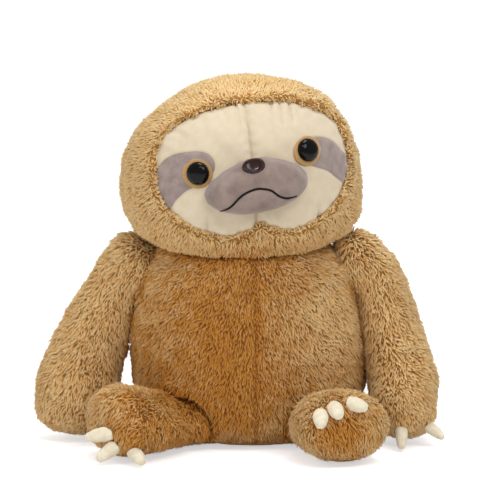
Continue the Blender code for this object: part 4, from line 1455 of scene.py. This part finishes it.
    def eye_ring(self, side: str, material: Material) -> Object:
        """Makes a felt ring that lies on the face, with a soft edge and a shank hole under the eye.

        Args:
            side: right or left.
            material: the felt.

        Returns:
            The finished piece.
        """
        turns = circle(72)
        rings = []
        for radius, lift in self.ring_profile:
            drift = PATCHES[side].ring_drift * (radius > 0.01)
            across = self.eye_shift + SIDES[side] * self.eye_spread / 2 + drift + radius * np.cos(turns)
            up = self.eye_rise + radius * np.sin(turns)
            rings.append(self.shape.front(across, up, self.shape.face_roll, lift * MM))
        made = new_object(f"{side}_felt_ring", grid_mesh("ring", [*rings, rings[0]], True), material)
        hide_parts(f"{side}_eye_ring")
        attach(made, "head")
        return made


@dataclass
class Eye:
    """A glossy safety eye: a domed cap with a rounded rim, pushed through the felt ring."""

    side: str
    shape: HeadShape
    radius: float = 0.0119
    height: float = 0.0085
    foot: float = 0.0016
    rim: Pairs = ((-0.0008, 0.0), (-0.0002, 0.0003))
    shank_radius: float = 0.0025
    shank_length: float = 0.008
    roundness: float = 0.8
    steps: int = 24
    segments: int = 72

    def build(self, material: Material) -> Object:
        """Makes the eye where the part has it, and hands it to the head.

        Args:
            material: the plastic.

        Returns:
            The finished piece.
        """
        node = f"{self.side}_eye"
        place = cap_frame(node, self.height, self.shape.up())
        profile = [(self.shank_radius, -self.shank_length), (self.shank_radius, 0.0)]
        profile += [(self.radius + inward, height) for inward, height in self.rim]
        for step in range(self.steps):
            turn = 0.5 * math.pi * step / self.steps
            height = self.foot + (self.height - self.foot) * math.sin(turn)
            profile.append((self.radius * math.cos(turn) ** self.roundness, height))
        turns = circle(self.segments)
        rings = [np.array([[0.0, 0.0, -self.shank_length]])]
        rings += [level_ring(radius * np.cos(turns), radius * np.sin(turns), z) for radius, z in profile]
        rings.append(np.array([[0.0, 0.0, self.height]]))
        mesh = grid_mesh(node, [placed(ring, place) for ring in rings])
        made = new_object(f"{self.side}_eye_dome", mesh, material)
        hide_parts(node)
        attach(made, "head")
        return made


@dataclass
class Muzzle:
    """The stuffed muzzle with its stitched mouth and its moulded nose.

    The mouth's route is in metres from the nose, as seen from the sight's height in degrees. The nose's
    profile is in shares of its size.
    """

    shape: HeadShape
    sight: float = 10.5
    groove: Ridge = Ridge(1.5, 0.0, 2.4)
    mouth_route: Pairs = (
        (-0.0328, -0.0420), (-0.0220, -0.0375), (-0.0105, -0.0262), (0.0005, -0.0204), (0.0090, -0.0190),
        (0.0190, -0.0208), (0.0270, -0.0262), (0.0350, -0.0284), (0.0440, -0.0264),
    )
    nose_width: float = 0.0235
    nose_height: float = 0.0200
    nose_rise: float = 0.0095
    nose_shift: float = 0.0015
    nose_lift: float = 0.0036
    nose_corners: float = 0.045
    nose_roundness: float = 0.9
    nose_shank: float = 0.006
    nose_shares: Pairs = (
        (1.00, 0.00), (0.99, 0.30), (0.95, 0.55), (0.87, 0.78), (0.80, 0.92), (0.73, 0.99), (0.67, 0.975),
        (0.61, 0.91), (0.30, 0.87), (0.05, 0.87),
    )
    stitch_length: float = 0.0036
    stitch_radius: float = 0.0012
    stitch_tilt: float = 0.22

    def cushion(self, material: Material) -> Object:
        """Makes the muzzle's cover, with the fabric drawn in along the mouth.

        Args:
            material: the velour.

        Returns:
            The finished piece.
        """
        skin = stuffed_skin("muzzle_velour", ("muzzle_cover", "muzzle_stuffing"), 2.2 * MM, 14, 1.2 * MM)
        finer = skin.modifiers.new("finer", "SUBSURF")
        finer.levels = finer.render_levels = 1
        bake(skin)
        line = self.mouth_line(skin)
        places = positions(skin.data)
        depth = self.groove.at(line_distance(places, line, False) / MM)
        move_to(skin.data, places - vertex_normals(skin.data) * (depth * MM)[:, None])
        coat(skin, material)
        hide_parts("muzzle_cover", "muzzle_stuffing")
        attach(skin, "head")
        return skin

    def mouth_line(self, skin: Object) -> np.ndarray:
        """Lays the mouth's line on the cushion, from corner to corner, as the front shows it.

        Args:
            skin: the cushion.

        Returns:
            The points of the line.
        """
        nose = Vector(disc_axis("nose_washer")[0])
        rise = math.radians(self.sight)
        aim = Vector((0.0, math.cos(rise), -math.sin(rise)))
        up = Vector((0.0, math.sin(rise), math.cos(rise)))
        tree = search_tree([skin.data])
        points = []
        for across, height in smooth_rows(np.array(self.mouth_route), 8, False):
            hit = tree.ray_cast(nose + Vector((across, 0.0, 0.0)) + up * height - aim * 0.3, aim)[0]
            if hit is not None:
                points.append(tuple(hit))
        return np.array(points)

    def mouth(self, skin: Object, material: Material) -> Object:
        """Makes the mouth as a row of overlapping stitches, smaller towards its corners.

        Args:
            skin: the cushion that they are sewn to.
            material: the thread.

        Returns:
            The finished piece.
        """
        line = self.mouth_line(skin)
        count = len(line)
        curve = bpy.data.curves.new("mouth", "CURVE")
        curve.dimensions = "3D"
        spline = curve.splines.new("POLY")
        spline.points.add(count - 1)
        spline.points.foreach_set("co", np.hstack([line, np.ones((count, 1))]).ravel())
        from_end = np.minimum(np.arange(count), np.arange(count)[::-1])
        spline.points.foreach_set("radius", np.minimum(1.0, 0.45 + 5.0 * from_end / count))
        guide = bpy.data.objects.new("mouth_stitches", curve)
        bpy.context.scene.collection.objects.link(guide)
        sizes = {"Spacing": self.stitch_length * 0.5, "Stitch length": self.stitch_length}
        grow(guide, self.stitch_tree(), {"Thread radius": self.stitch_radius, "Thread": material, **sizes})
        mesh = evaluated(guide)
        bpy.data.objects.remove(guide)
        made = new_object("mouth_stitches", mesh, material)
        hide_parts("mouth_thread")
        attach(made, "head")
        return made

    def stitch_tree(self) -> NodeTree:
        """Makes the node group that lays overlapping stitches along a line.

        Returns:
            The group.
        """
        wanted = {"Line": "Geometry", "Spacing": "Float", "Stitch length": "Float"}
        wanted |= {"Thread radius": "Float", "Thread": "Material"}
        tree, given = node_group("stitches", wanted, "Stitches")
        add = partial(add_node, tree)
        points = {"Curve": given["Line"], "Length": given["Spacing"]}
        points = add("GeometryNodeCurveToPoints", points, mode="LENGTH")
        ball = add("GeometryNodeMeshUVSphere", {"Segments": 8, "Rings": 6, "Radius": 1.0})
        along = {"Vector": points.outputs["Tangent"]}
        along = add("FunctionNodeAlignRotationToVector", along, axis="Z")
        tilt = {0: along, 1: (0.0, self.stitch_tilt, 0.0)}
        tilt = add("FunctionNodeRotateRotation", tilt, rotation_space="LOCAL")
        half = add("ShaderNodeMath", {0: given["Stitch length"], 1: 0.5}, operation="MULTIPLY")
        taper = add("GeometryNodeInputNamedAttribute", {"Name": "radius"}, data_type="FLOAT")
        radius = {0: given["Thread radius"], 1: taper.outputs["Attribute"]}
        radius = add("ShaderNodeMath", radius, operation="MULTIPLY")
        size = add("ShaderNodeCombineXYZ", {0: radius, 1: radius, 2: half})
        row = {"Points": points, "Instance": ball, "Rotation": tilt, "Scale": size}
        row = add("GeometryNodeInstanceOnPoints", row)
        row = add("GeometryNodeRealizeInstances", {0: row})
        dressed = add("GeometryNodeSetMaterial", {"Geometry": row, "Material": given["Thread"]})
        add("NodeGroupOutput", {0: dressed})
        return tree

    def nose(self, material: Material) -> Object:
        """Makes the moulded nose: a rounded triangle with a shallow dish in its front.

        Args:
            material: the plastic.

        Returns:
            The finished piece.
        """
        place = cap_frame("nose", self.nose_rise, self.shape.up())
        place[0, 3] += self.nose_shift
        turns = circle(96)
        swell = 1 + self.nose_corners * np.cos(3 * (turns - math.pi / 2) + math.pi)
        across, up = [
            half * swell * np.sign(wave) * np.abs(wave) ** self.nose_roundness
            for half, wave in ((self.nose_width / 2, np.cos(turns)), (self.nose_height / 2, np.sin(turns)))
        ]
        rings = [np.array([[0.0, 0.0, -self.nose_shank]])]
        rings.append(level_ring(across * 0.88, up * 0.88, -self.nose_shank))
        for share, height in smooth_rows(np.array(self.nose_shares), 4, False):
            flat = up * share * (0.72 + 0.28 * share) + self.nose_lift * (1 - share)
            rings.append(level_ring(across * share, flat, self.nose_rise * height))
        rings.append(rings[-1].mean(axis=0, keepdims=True))
        mesh = grid_mesh("nose", [placed(ring, place) for ring in rings])
        made = new_object("nose_cap", mesh, material)
        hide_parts("nose")
        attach(made, "head")
        return made


# Claws

CLAW_SHIFTS = {"left_foot_claw_outer": (-0.004, 0.0, 0.003), "left_hand_claw_outer": (-0.004, 0.0, -0.004)}
CLAW_FORMS = {("right", "foot"): (0.88, 0.0), ("left", "foot"): (0.66, 0.0003)}


def limb_middle(body: str) -> np.ndarray:
    """The middle of a limb's cover."""
    low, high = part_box(f"{body}_cover")
    return np.array((low + high) / 2)


def claws(side: str, end: str) -> tuple[str, ...]:
    """The names of the three claws on a hand or a foot."""
    return tuple(f"{side}_{end}_claw_{which}" for which in ("inner", "middle", "outer"))


@dataclass
class Claw:
    """A soft claw sewn from two pieces of velour and filled firmly."""

    node: str
    body: str
    length_share: float = 1.0
    plump: float = 0.0
    shift: Place = (0.0, 0.0, 0.0)
    voxel: float = 0.0011
    swell: float = 0.0004
    seam: Ridge = Ridge(-0.35, 0.0, 0.7)

    def build(self, material: Material) -> Object:
        """Makes the claw where the part has it, and hands it to its limb.

        Args:
            material: the velour.

        Returns:
            The finished piece.
        """
        skin = stuffed_skin(f"{self.node}_velour", (self.node,), self.voxel, 12, 0.0)
        places = positions(skin.data)
        seam = self.seam.at((places - places.mean(axis=0))[:, 0] / MM) * MM
        places = places + vertex_normals(skin.data) * (self.swell + self.plump + seam)[:, None]
        root = places[np.linalg.norm(places - limb_middle(self.body), axis=1).argmin()]
        _, axes = np.linalg.eigh(np.cov((places - places.mean(axis=0)).T))
        along = (places - root) @ axes[:, 2]
        places -= np.outer(along * (1 - self.length_share), axes[:, 2])
        move_to(skin.data, places + self.shift)
        coat(skin, material)
        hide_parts(self.node)
        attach(skin, self.body)
        return skin


# Studio


@dataclass(frozen=True)
class Lamp:
    """A square soft lamp that faces the toy's chest, and that glossy pieces mirror or don't."""

    name: str
    place: Place
    size: float
    power: float
    mirrored: bool = True
    aim: Place = (0.0, 0.0, 0.2)

    def build(self) -> None:
        """Hangs the lamp."""
        light = bpy.data.lights.new(self.name, "AREA")
        light.size = self.size
        light.energy = self.power
        lamp = bpy.data.objects.new(self.name, light)
        lamp.location = self.place
        lamp.rotation_euler = (Vector(self.aim) - Vector(self.place)).to_track_quat("-Z", "Y").to_euler()
        lamp.visible_glossy = self.mirrored
        bpy.context.scene.collection.objects.link(lamp)


@dataclass
class Studio:
    """The floor, the lamps and the camera of the picture."""

    elevation: float = 10.5
    distance: float = 9.0
    frame_width: float = 0.510
    aim_height: float = 0.194
    sensor: float = 36.0
    world_strength: float = 0.5
    floor_size: float = 12.0
    floor_glow: float = 0.55
    lamps: tuple[Lamp, ...] = (
        Lamp("key", (1.0, -2.0, 2.3), 1.2, 28.0),
        Lamp("catch", (-0.15, -1.7, 2.1), 0.3, 5.0),
        Lamp("fill", (-1.8, -1.9, 1.2), 1.6, 14.0, False),
        Lamp("top", (0.1, 0.1, 2.4), 1.0, 21.0),
    )

    def floor(self) -> None:
        """Lays a pale sweep that keeps the toy's soft shadow."""
        bm = bmesh.new()
        bmesh.ops.create_grid(bm, x_segments=8, y_segments=8, size=self.floor_size)
        material, tree, shader = blank_material("matt_white_paper")
        path = add_node(tree, "ShaderNodeLightPath").outputs
        seen = path["Is Camera Ray"]
        for ray in ("Is Glossy Ray", "Is Transmission Ray"):
            seen = add_node(tree, "ShaderNodeMath", {0: seen, 1: path[ray]}, operation="MAXIMUM")
        glow = add_node(tree, "ShaderNodeMath", {0: seen, 1: self.floor_glow}, operation="MULTIPLY")
        looks = {
            "Base Color": linear("#F4F4F4"),
            "Roughness": 0.95,
            "Specular IOR Level": 0.0,
            "Emission Color": (1.0, 1.0, 1.0, 1.0),
            "Emission Strength": glow,
        }
        feed(tree, shader, looks)
        made = new_object("floor", mesh_from("floor", bm), material)

    def build(self) -> None:
        """Sets up the whole studio."""
        scene = bpy.context.scene
        world = bpy.data.worlds.new("studio")
        world.use_nodes = True
        scene.world = world
        sky = {"Color": (1.0, 1.0, 1.0, 1.0), "Strength": self.world_strength}
        feed(world.node_tree, world.node_tree.nodes["Background"], sky)
        self.floor()
        for lamp in self.lamps:
            lamp.build()
        camera = bpy.data.cameras.new("camera")
        camera.sensor_width = self.sensor
        camera.lens = self.sensor * self.distance / self.frame_width
        rise = math.radians(self.elevation)
        made = bpy.data.objects.new("camera", camera)
        height = self.aim_height + self.distance * math.sin(rise)
        made.location = (0.0, -self.distance * math.cos(rise), height)
        made.rotation_euler = (math.pi / 2 - rise, 0.0, 0.0)
        scene.collection.objects.link(made)
        scene.camera = made
        scene.view_settings.view_transform = "Standard"


# The toy

TORSO = FurBody(
    "torso",
    Nap.FALL,
    11,
    centre=(0.0, 0.0, 0.1),
    length=0.82,
    density=330000.0,
    depth=0.36,
    deep=(
        Spot(-0.020, -0.09, 0.160, 0.055, 0.45),
        Spot(-0.022, -0.11, 0.105, 0.045, 0.5),
        Spot(-0.020, -0.10, 0.050, 0.040, 0.45),
        Spot(-0.110, -0.06, 0.070, 0.050, 0.3),
        Spot(0.085, -0.08, 0.130, 0.055, -0.5),
    ),
    long=(Spot(-0.10, -0.01, 0.19, 0.03, 0.9), Spot(0.10, -0.01, 0.19, 0.03, 1.1)),
    pinch=(
        Spot(0.085, -0.005, 0.201, 0.020, -0.016),
        Spot(-0.088, 0.0, 0.200, 0.020, -0.007),
        Spot(0.109, -0.03, 0.130, 0.040, -0.004),
        Spot(-0.115, -0.01, 0.128, 0.028, -0.0035),
    ),
    parting=(0.0065,),
)
HEAD = FurBody(
    "head",
    Nap.HOOD,
    12,
    centre=tuple(HeadShape().plane(0.0).translation),
    length=0.86,
    density=310000.0,
    voxel=0.0034,
    smoothing=3,
    swell=0.0,
    rim=FACE_NODES,
    depth=-0.2,
    # Painted light and shade: the pile is paler on the crown and deeper in colour under the face
    deep=(Spot(0.0, -0.08, 0.21, 0.05, 0.45), Spot(0.0, -0.02, 0.37, 0.07, -0.5)),
    pinch=(
        Spot(-0.09, 0.0, 0.345, 0.050, 0.006),
        Spot(0.075, 0.0, 0.360, 0.035, -0.005),
        Spot(0.105, -0.01, 0.225, 0.032, -0.006),
    ),
)
ARM_LONG = {"right": Spot(-0.125, 0.0, 0.20, 0.03, 0.3), "left": Spot(0.112, 0.0, 0.205, 0.025, 0.3)}
ARM_PINCH = {
    "right": (Spot(-0.120, 0.0, 0.208, 0.028, -0.012), Spot(-0.205, -0.07, 0.015, 0.03, 0.004)),
    "left": (
        Spot(0.148, 0.0, 0.189, 0.035, 0.006),
        Spot(0.180, -0.03, 0.135, 0.03, 0.004),
        Spot(0.109, -0.03, 0.130, 0.040, -0.004),
        Spot(0.094, -0.005, 0.205, 0.022, -0.014),
    ),
}
LEG_DEPTH = {"right": 0.75, "left": 0.3}


@dataclass
class Sloth:
    """The whole toy."""

    shape: HeadShape = field(default_factory=HeadShape)

    def fur_bodies(self) -> list[FurBody]:
        """Lists the furry bodies.

        Returns:
            The torso, the head, and each side's arm and leg.
        """
        bodies = [TORSO, HEAD]
        for number, (side, sign) in enumerate(SIDES.items()):
            arm = FurBody(
                f"{side}_arm",
                Nap.SLEEVE,
                21 + number,
                forward=(sign * 0.5, -0.1, -1.0),
                long=(ARM_LONG[side],),
                pinch=ARM_PINCH[side],
                claws=claws(side, "hand"),
            )
            leg = FurBody(
                f"{side}_leg",
                Nap.SHIN,
                31 + number,
                centre=tuple(limb_middle(f"{side}_leg")),
                forward=(sign * 0.6, -0.8, 0.0),
                pinch=(Spot(-0.058, -0.105, 0.064, 0.034, 0.015),),
                claws=claws(side, "foot"),
                depth=LEG_DEPTH[side],
                deep=(Spot(0.090, -0.165, 0.040, 0.022, 0.7), Spot(-0.15, -0.12, 0.05, 0.045, -0.5)),
            )
            bodies += [arm, leg]
        return bodies

    def build(self) -> None:
        """Builds and dresses every piece in order."""
        fur = FUR.material()
        pile = Pile()
        tuft = pile.tuft()
        tree = pile.tree()
        for body in self.fur_bodies():
            report(body.build(tree, tuft, fur))
        bpy.data.objects.remove(tuft)
        face = Face(self.shape)
        report(face.build(FACE_VELOUR.material()))
        felt = RING_FELT.material()
        black = EYE_PLASTIC.material()
        for side in SIDES:
            report(face.eye_ring(side, felt))
            report(Eye(side, self.shape).build(black))
        muzzle = Muzzle(self.shape)
        cushion = muzzle.cushion(MUZZLE_VELOUR.material())
        report(cushion)
        report(muzzle.mouth(cushion, MOUTH_THREAD.material()))
        report(muzzle.nose(NOSE_PLASTIC.material()))
        ivory = CLAW_VELOUR.material()
        for side in SIDES:
            for end, limb in (("hand", "arm"), ("foot", "leg")):
                share, plump = CLAW_FORMS.get((side, end), (1.0, 0.0))
                for node in claws(side, end):
                    shift = CLAW_SHIFTS.get(node, (0.0, 0.0, 0.0))
                    report(Claw(node, f"{side}_{limb}", share, plump, shift).build(ivory))
        plastic = WASHER_PLASTIC.material()
        for node in ("left_eye_washer", "right_eye_washer", "nose_washer"):
            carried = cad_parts[node]
            for place in carried.material_slots:
                place.material = plastic


def report(piece: Object) -> None:
    """Logs a finished piece and its size."""
    LOG.info("%s: %d faces", piece.name, len(piece.data.polygons))


def main() -> None:
    """Builds the toy and its studio."""
    logging.basicConfig(level=logging.INFO, format="%(name)s %(message)s")
    Sloth().build()
    Studio().build()


if __name__ == "__main__":
    main()
